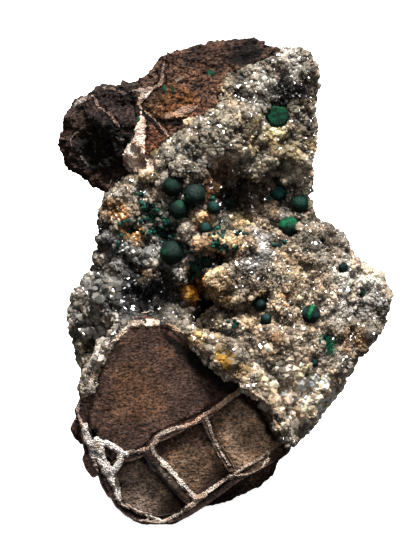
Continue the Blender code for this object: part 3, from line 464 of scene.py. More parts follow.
def addLumps(piece, ballSpots):
    scatter = druse["scatter"]
    rng = np.random.default_rng(scatter["seed"])
    lumps = list(druse["lumps"])
    for _ in range(scatter["count"]):
        lumps.append((*(rng.uniform(*scatter[name]) for name in ("across", "up", "radii")), scatter["lift"]))
    start, ways, distances = seenSurface([treeOf(piece)], np.array([lump[:2] for lump in lumps]))
    made = [piece]
    for (across, up, radius, lift), way, distance in zip(lumps, ways, distances):
        nearBall = min(math.hypot(across - ball[0], up - ball[1]) - ball[2] for ball in ballSpots) < radius * 0.75
        if not np.isfinite(distance) or nearBall:
            continue
        for out in np.arange(lift, -0.01, -radius * 0.8):  # one that stands out has others behind it as a stem
            made.append(addSphere(radius * mm, start + way * (distance + (radius * 0.35 - out) * mm), 3))
    pick(*made)
    bpy.ops.object.join()


def clearViews(piece, ballSpots):  # the crust leaves the balls in sight
    flat = onFace(meshPoints(piece))
    seen = seenAt(flat)
    for across, up, radius, height in ballSpots:
        top = height - radius * 0.3
        flat[(np.hypot(seen[:, 0] - across, seen[:, 1] - up) < radius * 1.04) & (flat[:, 2] > top), 2] = top
    piece.data.vertices.foreach_set("co", toWorld(flat).ravel())
    piece.data.update()


def openness(piece):  # how much of the way out of each place is clear: the crust's tint is darker in its hollows as painted shade
    tree, rays = treeOf(piece), druse["rays"]
    points, normals = meshPoints(piece), meshPoints(piece, "normal")
    rng = np.random.default_rng(3)
    clear = np.zeros(len(points))
    for _ in range(rays["count"]):
        ways = normals * 1.1 + rng.normal(size=points.shape) * rays["spread"]
        for index, (point, way) in enumerate(zip(points + normals * 0.0003, ways)):
            clear[index] += tree.ray_cast(Vector(point), Vector(way), rays["reach"])[0] is None
    return clear / rays["count"]


def buildDruse(ballSpots):
    piece = copyOfNode("quartz_druse", "quartzDruse")
    addLumps(piece, ballSpots)
    remeshed(piece, druse["cell"])
    before, normals = meshPoints(piece), meshPoints(piece, "normal")
    for scale, height, kind, mid in druse["relief"]:
        roughened(piece, scale, height, kind=kind, mid=mid)
    risen = ((meshPoints(piece) - before) * normals).sum(axis=1)
    clearViews(piece, ballSpots)
    # Painted shade: the tint is darker where the crust lies low and where its hollows are closed in.
    low, high = np.percentile(risen, (6, 94))
    level = fade(risen, low, high - low) * (0.25 + 0.75 * openness(piece) ** 1.3)
    points = onFace(meshPoints(piece))
    paint(piece, "tint", mottled(points, zoneColours(points, druse)) * (0.12 + 0.7 * level[:, None]))
    finishPiece(piece, druseMaterial(), "quartz", "quartz_druse")
    return piece, level


def druseMaterial():
    # The grown-together roots of the quartz crystals: a sugar of tiny facets, with painted shade in the gaps
    # carried by the tint.
    material, tree = newMaterial("drusyQuartzRoots", {"Roughness": 0.35, "IOR": 1.544})
    place = objectPlace(tree)
    facets = addNode(tree, "TexVoronoi", {"Scale": druse["facets"]}, {"Vector": place})
    own = addNode(tree, "SeparateColor", {}, {"Color": facets.outputs["Color"]}).outputs["Red"]
    toned = scaled(tree, attribute(tree, "tint"), mapped(tree, own, (0.0, 1.0), (0.35, 1.9)))
    inFacet = addNode(tree, "VectorMath", {"operation": "SUBTRACT"}, {0: place, 1: facets.outputs["Position"]})
    tilt = addNode(tree, "VectorMath", {"operation": "SUBTRACT", 1: (0.5, 0.5, 0.5)}, {0: facets.outputs["Color"]})
    slope = addNode(tree, "VectorMath", {"operation": "DOT_PRODUCT"},
                    {0: inFacet.outputs["Vector"], 1: tilt.outputs["Vector"]})
    return finished(material, toned, slope.outputs["Value"], {"Strength": 1.0, "Distance": 2.2})


crystals = {
    "count": 62000,
    "prisms": 0.22,  # share of them that has a prism under the point
    "small": (0.22, 0.46), "large": (0.34, 0.7),  # half the width of pointed ones and of prisms, mm
    "lengths": (0.75, 1.25),  # times half the width
    "lean": 0.42, "tips": 0.22, "girth": (0.75, 1.15),  # how unlike each other they are
    "offBalls": (1.06, 0.0004), "offBeads": (1.1, 0.0001),  # kept off: times the radius, and metres more
    "calm": (31, 47, 14),  # across, up, radius of the far wing, which is plainer
    "most": 180000,  # triangles in one piece
    "seed": 21,
    "clear": [  # across, up, half its width, half its length
        (-3, 75.6, 0.45, 0.9), (-0.8, 72.4, 0.45, 1), (-1.8, 72.8, 0.6, 0.6), (2.6, 75, 0.4, 0.7),
        (12, 93, 0.5, 0.6), (18, 75, 0.5, 0.6), (15.8, 63, 0.5, 1.5), (-14.8, 67, 0.6, 0.8), (-12.4, 66, 0.6, 0.8),
        (-6, 75.4, 0.5, 0.7), (-4.8, 72.4, 0.45, 0.9), (10, 32.6, 0.7, 0.7), (7, 33, 0.5, 0.6),
        (-3.8, 74.8, 0.4, 0.6), (-16, 47.8, 0.6, 0.6), (-11.2, 43.2, 0.5, 0.7), (15, 61.8, 0.45, 1.1),
        (6.4, 89.4, 0.5, 0.6), (-0.2, 79.2, 0.5, 0.7), (-22, 42.6, 0.8, 0.8), (-24.8, 39.8, 0.9, 0.8),
        (15.6, 24, 0.7, 0.7), (13.6, 28.8, 0.7, 0.6), (18.8, 20.6, 0.6, 0.6), (2.8, 34.2, 0.7, 0.6),
    ],
}


def crystalMaterial(name, roughness, clearness):
    # Quartz grown in a cavity: clear to milky points with flat glassy faces.
    material, tree = newMaterial(name, {"Roughness": roughness, "IOR": 1.544, "Transmission Weight": clearness})
    return finished(material, attribute(tree, "tint"))


def crystalShape(pointed):  # six-sided, with a half width and a half length of 1
    around = np.arange(6) * math.pi / 3
    ring = np.stack([np.cos(around), np.sin(around)], axis=1)
    sides = [(k, (k + 1) % 6) for k in range(6)]
    if pointed:  # a bipyramid: only its upper point shows
        corners = np.vstack([[0, 0, 1], np.c_[ring, np.zeros(6)], [0, 0, -0.7]])
        faces = [(0, 1 + k, 1 + after) for k, after in sides] + [(7, 1 + after, 1 + k) for k, after in sides]
    else:  # a short prism under the point
        upper, lower = np.c_[ring * 0.94, np.full(6, 0.4)], np.c_[ring, np.full(6, -0.4)]
        corners = np.vstack([[0, 0, 1], upper, lower, [0, 0, -0.8]])
        faces = [(0, 1 + k, 1 + after) for k, after in sides]
        faces += [(1 + k, 7 + k, 7 + after) for k, after in sides]
        faces += [(1 + k, 7 + after, 1 + after) for k, after in sides]
        faces += [(13, 7 + after, 7 + k) for k, after in sides]
    return corners, np.array(faces)


def manyCrystals(name, points, normals, widths, lengths, colours, rng, pointed, material):  # one piece of them
    corners, faces = crystalShape(pointed)
    count, each = len(points), len(corners)
    along = unit(normals + rng.normal(size=(count, 3)) * crystals["lean"])
    across = np.where(np.abs(along[:, 2:3]) < 0.8, [[0, 0, 1.0]], [[1.0, 0, 0]])  # any way but along
    side = unit(np.cross(across, along))
    other = np.cross(along, side)
    spin = rng.uniform(0, math.tau, count)[:, None]
    first = side * np.cos(spin) + other * np.sin(spin)
    second = other * np.cos(spin) - side * np.sin(spin)
    shapes = np.repeat(corners[None], count, axis=0)
    shapes[:, 0, :2] += rng.normal(size=(count, 2)) * crystals["tips"]
    shapes[:, 1:-1, :2] *= rng.uniform(*crystals["girth"], (count, each - 2, 1))
    shapes[..., :2] *= widths[:, None, None]
    shapes[..., 2] *= lengths[:, None]
    world = points[:, None] + (shapes[..., 0:1] * first[:, None] + shapes[..., 1:2] * second[:, None]
                               + shapes[..., 2:3] * along[:, None]) * mm
    allFaces = (faces[None] + (np.arange(count) * each)[:, None, None]).reshape(-1, 3)
    piece = meshPiece(name, world.reshape(-1, 3), allFaces)
    paint(piece, "tint", np.repeat(colours, each, axis=0))
    finishPiece(piece, material, "quartz")
    print(name, count)


def drusePlaces(drusePiece, rockTree, level):  # the crust's vertices that no rock lies over
    points, normals = meshPoints(drusePiece), meshPoints(drusePiece, "normal")
    under, reach = 0.0002, 0.0016  # metres: from just under the crust to as far as rock lies over it
    outer = np.ones(len(points), dtype=bool)
    for index in range(len(points)):
        point, normal = Vector(points[index]), Vector(normals[index])
        outer[index] = rockTree.ray_cast(point - normal * under, normal, reach)[0] is None
    return points[outer], normals[outer], level[outer]


def crystalSizes(flat, seen, level, towards):
    size = np.ones(len(flat))
    for across, up, radius, factor in druse["sizes"]:
        size *= 1 + (factor - 1) * softSpot(seen, across, up, radius, 0.5)
    size *= 1 + 0.25 * wavering(flat, 2.5, 9)
    return np.clip(size * (0.75 + 0.4 * level), 0.55, 2.2) * np.where(towards < -0.1, 1.35, 1)


def chosenOf(chosen, *lists):
    return [values[chosen] for values in lists]


def growCrystals(drusePiece, rockTree, level, balls, beads, strokes):
    rng = np.random.default_rng(crystals["seed"])
    points, normals, level = drusePlaces(drusePiece, rockTree, level)
    towards = normals @ faceOut
    seen = seenAt(onFace(points))
    clear = (insideStrokes(seen, strokes)[0] < 0.1) | (towards < -0.2)  # none in front of the white quartz
    for places, (times, more) in ((balls, crystals["offBalls"]), (beads, crystals["offBeads"])):
        for centre, radius in places:
            clear &= np.linalg.norm(points - np.array(centre), axis=1) > radius * times + more
    points, normals, level, towards, seen = chosenOf(clear, points, normals, level, towards, seen)
    flat = onFace(points)
    colours = zoneColours(flat, druse)
    size = crystalSizes(flat, seen, level, towards)
    density = np.where(colours.mean(axis=1) < 0.03, 0.18, 1) / size ** 1.4  # few in the dark hollows
    keep = rng.uniform(size=len(points)) < density * crystals["count"] / density.sum()
    points, normals, level, seen, flat = chosenOf(keep, points, normals, level, seen, flat)
    colours, size = chosenOf(keep, colours, size)
    calm = softSpot(seen, *crystals["calm"])
    shade = np.exp(rng.normal(size=len(points)) * 0.34 * (1 - 0.6 * calm))[:, None]
    # Painted shade: crystals low in the crust and in closed hollows get darker colours, less so on the far wing.
    level = level + (0.62 - level) * 0.6 * calm
    colours = np.clip(mottled(flat, colours) * shade * (0.3 + 1.25 * level[:, None]), 0, 0.95)
    points = points + rng.normal(size=points.shape) * 0.00012  # metres
    kind = rng.uniform(size=len(points)) < crystals["prisms"]
    milky = crystalMaterial("quartzCrystals", 0.16, 0.6)
    batches = [("fineCrystals", ~kind, crystals["small"], True), ("prismCrystals", kind, crystals["large"], False)]
    for name, chosen, between, pointed in batches:
        widths = rng.uniform(*between, chosen.sum()) * size[chosen]
        lengths = widths * rng.uniform(*crystals["lengths"], chosen.sum())
        order = np.argsort(points[chosen][:, 2])  # so that each piece is one layer of the specimen
        places = np.nonzero(chosen)[0][order]
        pieces = math.ceil(len(places) * len(crystalShape(pointed)[1]) / crystals["most"])
        for number, part in enumerate(np.array_split(np.arange(len(places)), pieces), 1):
            some = places[part]
            manyCrystals(f"{name}_{number}", points[some], normals[some], widths[order][part], lengths[order][part],
                         colours[some], rng, pointed, milky)
    growClearCrystals(treeOf(drusePiece), rng)


def growClearCrystals(surface, rng):  # a few larger, clear ones that catch the light
    wanted = np.array(crystals["clear"])
    start, ways, distances = seenSurface([surface], wanted[:, :2])
    wanted, ways, distances = chosenOf(np.isfinite(distances), wanted, ways, distances)
    points = start + ways * (distances - 0.2 * mm)[:, None]
    leans = unit(-ways + rng.normal(size=ways.shape) * 0.25 + np.array((0, 0, 0.35)))
    clear = crystalMaterial("clearQuartzCrystals", 0.04, 0.9)
    colours = np.full((len(points), 3), 0.88)
    manyCrystals("clearCrystals", points, leans, wanted[:, 2], wanted[:, 3], colours, rng, False, clear)


malachite = {
    "puffed": 1.06,  # how much larger than its solid a ball is
    "fineFrom": 0.0012,  # metres: balls of a larger radius have a finer mesh
    "relief": [(1.3, 0.22, 2), (0.3, 0.1, 1)],  # size and height of the lumps, and their finer noises
    "grain": {"balls": 0.34, "beads": 0.25, "broken": 0.2},  # mm
    "sheen": "#6fa894",
    "ground": "#03130e",
    "zones": [  # green and grey places on the balls: across, up, radius, colour, strength
        (-7.2, 67.8, 1.2, "#0a231b", 0.8), (-2.6, 66.8, 1.4, "#18231f", 0.9), (-4.2, 65.4, 0.8, "#0c3322", 0.8),
        (-5.4, 64.4, 1.2, "#082c1f", 0.9), (-7.2, 55, 1.6, "#121f1b", 0.9), (-9, 54.6, 0.9, "#06301d", 0.9),
        # (14, 66.8): a ball lightened against the shade it sits in, painted light
        (14, 66.8, 1.7, "#1d4a44", 0.9), (18.6, 65, 1.4, "#0b2b22", 0.9), (19.6, 63.8, 0.9, "#06301c", 0.7),
        (16.6, 61, 1.6, "#043822", 0.95), (15, 60.4, 0.9, "#054a2c", 0.9), (17.6, 61.6, 1, "#054a2c", 0.8),
        (16.4, 60.2, 0.6, "#0c2b20", 0.7), (-0.4, 59.8, 1, "#12302c", 0.8), (10.4, 44.6, 0.8, "#162b2b", 0.8),
        (11.6, 41.8, 0.8, "#142f2e", 0.7), (3.8, 65, 0.8, "#1f3833", 0.8), (1.4, 64, 1, "#122b29", 0.8),
        (31.4, 46, 0.8, "#0d4429", 0.9), (21, 32.4, 0.6, "#12292b", 0.7), (19.2, 42.8, 1, "#142a28", 0.9),
        (22, 41.8, 1, "#172b2a", 0.9), (21, 43.9, 0.55, "#0a4f2e", 1), (20.8, 43.1, 0.5, "#0a5230", 1),
        (20.5, 42.4, 0.5, "#0a5230", 1), (20.3, 41.6, 0.5, "#0a4f2e", 1),
    ],
}


def malachiteMaterial(name, grain):
    # Malachite in balls of fine fibres: the ends of the fibres make a velvet skin.
    material, tree = newMaterial(name, {
        "Roughness": 0.8, "IOR": 1.65, "Specular IOR Level": 0.08, "Sheen Weight": 0.015, "Sheen Roughness": 0.4,
        "Sheen Tint": (*linear(malachite["sheen"]), 1)})
    fine = noise(tree, objectPlace(tree), 1000 / malachite["grain"][grain], 3.0)
    toned = scaled(tree, attribute(tree, "tint"), mapped(tree, fine, (0.36, 0.66), (0.4, 1.7)))
    return finished(material, toned, fine, {"Strength": 0.7, "Distance": 0.0002})


def ballOf(nodeName):
    low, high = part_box(nodeName)
    centre = (Vector(low) + Vector(high)) / 2
    return centre, max(high[0] - low[0], high[2] - low[2]) / 2


def middleOf(nodeName):  # on the show face
    low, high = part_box(nodeName)
    return onFace([(np.array(low) + np.array(high)) / 2])


def buildBalls():
    velvet = malachiteMaterial("velvetMalachite", "balls")
    made = []
    names = sorted(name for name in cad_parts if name.startswith("malachite_ball"))
    for number, nodeName in enumerate(names, 1):
        centre, radius = ballOf(nodeName)
        piece = addSphere(radius * malachite["puffed"], centre, 5 if radius > malachite["fineFrom"] else 4)
        piece.name = f"velvetBall_{number:02d}"
        bpy.ops.object.transform_apply()
        for scale, height, depth in malachite["relief"]:
            roughened(piece, scale, height, depth=depth)
        bpy.ops.object.shade_smooth()
        paint(piece, "tint", zoneColours(onFace(meshPoints(piece)), malachite, 0.12))
        finishPiece(piece, velvet, "malachite", nodeName)
        made.append((centre, radius))
    return made


beads = {
    "perNode": 26, "spread": 2.0,  # beads in each of the part's bead groups, and how far they spread, mm
    "radii": (0.22, 0.46), "sunk": 0.25,  # mm
    "dark": "#071a19", "light": "#0f4636",
    "seed": 33,
    "more": [  # across, up, spread, how many: beads strewn between the crystals
        (-11.6, 63.6, 1.6, 16), (-13.6, 65.4, 1.2, 8), (-8.4, 60.2, 1.6, 18), (-11.2, 58.6, 1, 12),
        (-7.2, 57.4, 1.6, 14), (-17.4, 55, 1.4, 9), (2.8, 65, 1.6, 14), (2.2, 59.4, 1.8, 20), (-3, 51, 1.4, 22),
        (-0.8, 52.6, 1.2, 10), (13.8, 55.6, 1, 9), (6.6, 58.2, 0.8, 6), (5.2, 55.6, 0.6, 6), (14, 66.4, 1.2, 8),
        (5.4, 40.4, 1.2, 8), (23.2, 36.8, 1.4, 22), (-4.8, 55.8, 1.2, 8),
    ],
}


def beadPlaces(surface, across, up, spread, count, rng):
    spots = np.c_[across + rng.normal(size=count) * spread * 0.6, up + rng.normal(size=count) * spread * 0.5]
    start, ways, distances = seenSurface([surface], spots)
    radii = rng.uniform(*beads["radii"], count) * mm
    return [(Vector(start + way * (distance - beads["sunk"] * mm)), radius)
            for way, distance, radius in zip(ways, distances, radii) if np.isfinite(distance)]


def buildBeads(surface):
    rng = np.random.default_rng(beads["seed"])
    velvet = malachiteMaterial("velvetMalachiteBeads", "beads")
    groups, made = [], []
    for nodeName in sorted(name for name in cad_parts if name.startswith("malachite_beads")):
        across, up, _ = seenAt(middleOf(nodeName))[0]
        groups.append(([nodeName], beadPlaces(surface, across, up, beads["spread"], beads["perNode"], rng)))
    for group in beads["more"]:
        groups.append(([], beadPlaces(surface, *group, rng)))
    for number, (nodeNames, places) in enumerate(groups, 1):
        pick(*[addSphere(radius, centre, 3) for centre, radius in places])
        made += places
        bpy.ops.object.join()
        piece = bpy.context.object
        piece.name = f"beadGroup_{number:02d}"
        bpy.ops.object.transform_apply()
        bpy.ops.object.shade_smooth()
        green = np.clip(wavering(onFace(meshPoints(piece)), 1.4, 40)[:, None] * 0.8 + 0.35, 0, 1)
        paint(piece, "tint", mixed(linear(beads["dark"]), linear(beads["light"]), green))
        finishPiece(piece, velvet, "malachite", *nodeNames)
    return made


splitBall = {
    "size": (2.25, 2.05, 1.3),  # half its width, height and depth, mm
    "eye": (-0.1, 0.35),  # where the fibres start, and
    "cut": 0.5,  # how high the break is, both as shares of the size
    "dark": "#000f09", "light": "#014027",
}


def buildSplitBall():
    # A ball broken across its middle: silky fibres run out from one side of the break.
    centre = onFace([ballOf("malachite_split_ball")[0]])[0]
    piece = addSphere(mm, (0, 0, 0), 6)
    piece.name = "splitBall"
    ball = meshPoints(piece) / mm
    right, above = ball[:, 0] - splitBall["eye"][0], ball[:, 1] - splitBall["eye"][1]
    around, away = np.arctan2(above, right), np.hypot(right, above)
    fibres = np.sin(around * 7 + 3 * wavering(ball, 1, 8)) + 0.8 * np.sin(around * 19 + away * 5)
    fibres = fibres + 0.6 * np.sin(around * 41 + 2)
    ball[:, 2] = np.minimum(ball[:, 2], splitBall["cut"] + 0.015 * fibres * away)
    ball[:, :2] *= 1 + 0.13 * wavering(ball * 2, 2.2, 6)[:, None]
    flat = centre + ball * splitBall["size"]
    piece.data.vertices.foreach_set("co", toWorld(flat).ravel())
    piece.data.update()
    light = np.clip(0.4 + 0.2 * fibres + 0.45 * wavering(flat, 0.8, 4) - 0.5 * (away - 0.8).clip(0), 0, 1)[:, None]
    paint(piece, "tint", mixed(linear(splitBall["dark"]), linear(splitBall["light"]), light))
    silky = malachiteMaterial("silkyMalachiteBroken", "broken")
    finishPiece(piece, silky, "malachite", "malachite_split_ball")
    return silky


spray = {
    "needles": 110, "lengths": (1.0, 3.0), "thickness": 0.12,  # mm
    "foot": (-0.5, 0.6, -0.2),  # from the middle of its solid, mm
    "way": (0.25, -0.35, 0.6), "fan": (0.7, 0.9, 0.35),  # where the needles point, and how far they fan out
    "colour": "#0a462f",
    "seed": 12,
}


def buildSpray(silky):
    # Malachite in loose green needles that fan out from the crust.
    rng = np.random.default_rng(spray["seed"])
    foot = middleOf("malachite_spray")[0] + spray["foot"]
    corners, faces = [], []
    for _ in range(spray["needles"]):
        way = unit(rng.normal(size=3) * spray["fan"] + spray["way"])
        side = unit(np.cross(way, (0.3, 0.9, 0.2)))
        other = np.cross(way, side)
        tip = foot + rng.normal(size=3) * 0.25 + way * rng.uniform(*spray["lengths"])
        root = foot + rng.normal(size=3) * 0.3
        first = len(corners)
        for angle in (0, math.tau / 3, 2 * math.tau / 3):
            corners.append(root + (side * math.cos(angle) + other * math.sin(angle)) * spray["thickness"])
        corners.append(tip)
        faces += [(first, first + 1, first + 3), (first + 1, first + 2, first + 3), (first + 2, first, first + 3),
                  (first + 2, first + 1, first)]
    piece = meshPiece("needleSpray", toWorld(corners), faces)
    edited(piece, bpy.ops.mesh.normals_make_consistent, inside=False)
    paint(piece, "tint", np.tile(linear(spray["colour"]), (len(corners), 1)))
    finishPiece(piece, silky, "malachite", "malachite_spray")


veins = {
    "nodes": {  # piece, and its fine mesh in mm
        "block_veins": ("blockVeins", 0.2), "lobe_veins": ("lobeVeins", 0.2), "nodule_vein": ("noduleVein", 0.15)},
    "widened": 0.45,  # how much the filling, painted in the rock's colours, is widened to close its crack, mm
    "sunk": 1.2,  # and how much its front is let in
    "shade": 0.5,  # and how light it is beside the rock: darkened as painted shade, so it reads as a recess in shadow
    "bands": [  # colour, then places along the band with the width there, mm
        ("#a98b75", [(7.4, 27.8, 1), (5.4, 26.2, 1), (3.2, 24.6, 0.9), (1, 23, 0.8), (-1, 21.8, 0.8),
         (-2.8, 20.4, 0.8), (-5, 19.4, 0.8)]),
        ("#a08e7f", [(-5, 19.4, 0.8), (-7.2, 19.2, 0.8), (-9.2, 18.2, 0.7), (-10.4, 17.6, 0.7), (-10.4, 16.6, 0.8),
         (-11.4, 15.6, 0.9), (-13.6, 14.8, 0.8), (-15.8, 14.4, 0.8), (-17.2, 14, 0.9)]),
        ("#aba198", [(-11.4, 15.4, 0.8), (-10.4, 14, 1), (-8.8, 12.2, 1), (-7.2, 10.6, 1), (-5.4, 8.4, 0.9),
         (-4, 6.8, 0.8), (-2.4, 5, 0.8)]),
        ("#9a897e", [(-0.2, 21.4, 0.36), (0.2, 19.8, 0.4), (1, 17.6, 0.38), (1.6, 16.2, 0.3), (2.6, 14.4, 0.22),
         (4.2, 12, 0.22)]),
        ("#b5a69a", [(-17.8, 4.6, 0.6), (-15.2, 3.2, 0.44), (-12, 2, 0.44), (-9.2, 0.8, 0.6), (-7.2, 1.4, 0.4),
         (-5.4, 2.6, 0.6), (-3.6, 3.8, 0.8), (-2.4, 4.8, 1), (0.4, 6.8, 0.9), (2.2, 8.2, 0.6)]),
        ("#a08c7c", [(2.2, 8.2, 0.6), (4.2, 9.6, 0.6), (8.6, 12.2, 0.44), (12.4, 14.8, 0.44), (14.8, 16.6, 0.4),
         (16.4, 17.6, 0.4)]),
        ("#8a776a", [(-17.8, 2.2, 0.4), (-14.4, 0.8, 0.44), (-10.4, 0.4, 0.44), (-7.4, 0.6, 0.4)]),
        ("#9a8778", [(12.4, 14.6, 0.3), (11.8, 12.8, 0.32), (10.6, 11.2, 0.32), (8.4, 10, 0.32), (5.4, 9.8, 0.3),
         (4.2, 9, 0.3)]),
        ("#8a776a", [(-25.2, 20, 0.6), (-24.2, 17.6, 0.6), (-23.2, 13.4, 0.6), (-22.2, 11, 0.6)]),
    ],
    "ledge": [  # a pale edge on the lobe
        ("#8f705a", [(-8.6, 81.6, 0.6), (-7.2, 82, 1.2), (-5.4, 82.6, 1.7), (-3.8, 83.2, 1.3), (-2.4, 83.6, 0.6)]),
    ],
    "faint": [  # thin and broken ones on the lobe and the nodule, and painted highlights on the rims of folds in the nodule's dark hollow
        ("#7d6554", [(-8.4, 95, 0.32), (-8.8, 92.6, 0.28), (-9.2, 89.8, 0.4), (-9.6, 88.2, 0.4), (-11.2, 87.2, 0.4),
         (-12.6, 86.2, 0.48), (-13.4, 85, 0.44), (-14, 84, 0.32)]),
        ("#b3a498", [(-8, 95, 0.6), (-6.8, 95.2, 0.8), (-5.8, 95.2, 0.6)]),
        ("#7d6350", [(-13.8, 83.8, 0.24), (-12.2, 82.4, 0.26), (-10.6, 81, 0.26), (-9.2, 79.4, 0.3),
         (-8, 77.8, 0.3)]),
        ("#6e5648", [(-22.8, 85.6, 0.26), (-22.2, 84.2, 0.28), (-21.2, 83.2, 0.32), (-20, 82.4, 0.32),
         (-18.8, 81, 0.28), (-17.8, 79.6, 0.24)]),
        ("#8e857e", [(-26.8, 83.8, 0.6), (-25.8, 84.8, 0.9), (-24.4, 85.4, 0.8), (-23, 85.8, 0.5)]),
        ("#5a463a", [(-21.4, 87, 0.4), (-20, 87.4, 0.48), (-18.4, 87, 0.4), (-16.8, 86.2, 0.4)]),
        ("#77655a", [(-17.2, 86.4, 0.4), (-15.2, 86.8, 0.4), (-13, 87, 0.6), (-11.2, 87.4, 0.48)]),
        ("#b0a59c", [(-13.6, 85.4, 0.6), (-12.8, 85.8, 0.8), (-11.8, 86.6, 0.6)]),
        # this and the next two: painted highlights, pale-brown lines for the lit rims of folds in the nodule's dark
        # hollow
        ("#4d3a30", [(-27.2, 75.2, 0.36), (-27.6, 77, 0.4), (-26.4, 78.4, 0.48), (-24.8, 78.8, 0.4),
         (-23, 78, 0.36)]),
        ("#3d2e26", [(-23.2, 77.4, 0.32), (-22.6, 76.2, 0.36), (-22.6, 74.8, 0.3)]),
        ("#4a3930", [(-26.2, 74.4, 0.32), (-25.2, 73.4, 0.44), (-24, 71.8, 0.36)]),
        ("#33271f", [(-21.6, 72.2, 0.32), (-20.6, 71.6, 0.44), (-19.6, 71.2, 0.32)]),
        ("#453329", [(-19.2, 78, 0.32), (-18.2, 77.4, 0.36), (-17.2, 77, 0.32)]),
        ("#84674f", [(-3.2, 83.6, 0.32), (-2.8, 84.6, 0.44), (-2.4, 85.4, 0.32)]),
        ("#63513f", [(-6.6, 88.4, 0.4), (-5.6, 89.2, 0.8), (-4.8, 89.8, 0.48)]),
        ("#ffdf9c", [(-9.4, 6.8, 0.6), (-8.8, 6.8, 0.68)]),
    ],
    "masses": [  # broader white and pinkish quartz, and the cut edge of the crust round the block
        ("#c9c3be", [(-22.4, 16.8, 1), (-21, 16.4, 1.2), (-19.4, 15.8, 1.2), (-17.6, 14.6, 1.4), (-16.4, 14.2, 1)]),
        ("#b8b1aa", [(-22.2, 16.4, 2.2), (-21.8, 14.6, 2.4), (-21.2, 12.8, 1.8), (-20.4, 11.2, 2.4),
         (-19.2, 9.8, 2.2), (-18.6, 8.2, 1.6), (-17.8, 5, 1)]),
        ("#c2bcb6", [(-17.4, 14.2, 1.6), (-17.8, 12.6, 1.4), (-18.4, 10.8, 1.6)]),
        ("#b4aca6", [(-24.8, 19.8, 1.2), (-24.2, 17.6, 1.6), (-23.4, 15.8, 1.6), (-23, 13.8, 1.4)]),
        ("#9c8a7c", [(-26, 25, 0.9), (-26.2, 22.2, 1), (-25.2, 19.8, 0.8)]),
        ("#bba796", [(-9.2, 40.4, 1.2), (-11.6, 40.6, 1.7), (-14, 40.6, 1.8), (-16, 39.8, 1.6), (-17.6, 38.4, 1.4),
         (-19.2, 36.4, 1.3), (-20.2, 34.4, 1.2), (-21.6, 32.6, 1.2), (-22.8, 30.6, 1), (-23.6, 27.8, 1)]),
        ("#4a1f13", [(-14.6, 41.1, 0.52), (-13, 41.5, 0.68), (-11.4, 41.5, 0.68), (-10, 41.1, 0.52)]),
        ("#bba796", [(-15.4, 41.2, 0.4), (-13.8, 42.3, 0.48), (-11.6, 42.5, 0.48), (-9.4, 41.8, 0.4)]),
        ("#937a60", [(-9.2, 40.4, 1), (-7.2, 39.6, 1.1), (-5.2, 38.2, 1.2), (-2.8, 36, 1.2), (0, 34, 1.2),
         (2.8, 31.8, 1.1), (5.6, 29.4, 1), (7.6, 27.8, 1)]),
        ("#b09a84", [(7.6, 27.4, 1), (10, 25.8, 1), (12, 24.2, 1), (12.6, 21.8, 0.9), (13.8, 19.4, 0.9),
         (15.2, 17.8, 0.8)]),
        ("#cbb3a2", [(-13.4, 82.6, 0.5), (-13.2, 80.8, 1.2), (-13.6, 78.8, 1.8), (-14, 76.6, 2.8), (-14.6, 74.6, 4),
         (-14.6, 72.8, 4.6)]),
        ("#c0a793", [(-14.6, 72.8, 4.6), (-12.8, 71.6, 3.2), (-11.2, 72, 2.4), (-10, 72.8, 1.4)]),
    ],
    "flecks": [  # malachite on the bare rock
        ("#03291a", [(-13.8, 81.4, 0.5), (-13.8, 80.2, 0.72), (-14, 78.8, 0.5)]),
        ("#032619", [(-15.6, 76.8, 0.6), (-15.6, 76, 0.6)]),
        ("#03291a", [(-8.8, 87.6, 0.72), (-8.6, 87, 0.72)]),
        ("#032217", [(-7.2, 87.4, 0.48), (-6.8, 86.6, 0.4)]),
        ("#03291a", [(0.2, 90.4, 1), (1, 90.4, 0.88)]),
        ("#042017", [(-15, 85.6, 0.4), (-14.6, 85.6, 0.4)]),
    ],
}


def veinMaterial():
    # Fine-grained quartz in cracks of the rock: sugary, white to cream, brown where iron has soaked in.
    material, tree = newMaterial("granularVeinQuartz", {"Roughness": 0.5, "IOR": 1.544})
    place = objectPlace(tree)
    soaked = mapped(tree, noise(tree, place, 420.0, 5.0, 0.65), (0.44, 0.62), (0.0, 0.9))
    brown = stained(tree, attribute(tree, "tint"), (0.5, 0.36, 0.25), soaked)
    fine = addNode(tree, "TexVoronoi", {"Scale": 3200.0}, {"Vector": place}).outputs["Distance"]
    toned = scaled(tree, brown, mapped(tree, fine, (0.0, 0.8), (1.9, 0.55)))
    return finished(material, toned, fine, {"Strength": 1.0, "Distance": 0.0005, "invert": True})


def buildVeins(rockPiece):
    trees = [treeOf(rockPiece)]
    for nodeName, (pieceName, cell) in veins["nodes"].items():
        piece = copyOfNode(nodeName, pieceName)
        remeshed(piece, cell)
        normals = meshPoints(piece, "normal")
        lowered = np.clip(normals @ faceOut, 0, 1)[:, None] * veins["sunk"]
        points = meshPoints(piece) + (normals * veins["widened"] - faceOut * lowered) * mm
        piece.data.vertices.foreach_set("co", points.ravel())
        roughened(piece, 1.4, 0.4)
        # Painted shade: the filling takes the rock's colours, darkened.
        paintRock(piece, veins["shade"])
        finishPiece(piece, rockPiece.data.materials[0], "vein", nodeName)
        trees.append(treeOf(piece))
    return trees


skin = {
    "step": 0.18,  # between the points of the skin, mm
    "edge": 0.35,  # how far it runs on outside the stroke, going under, mm
    "bridge": 5,  # steps over which it closes the cracks under it
    "jump": 1.3,  # the skin is left open where the surface under it jumps by more, mm
    "thickness": 0.4,  # mm
}


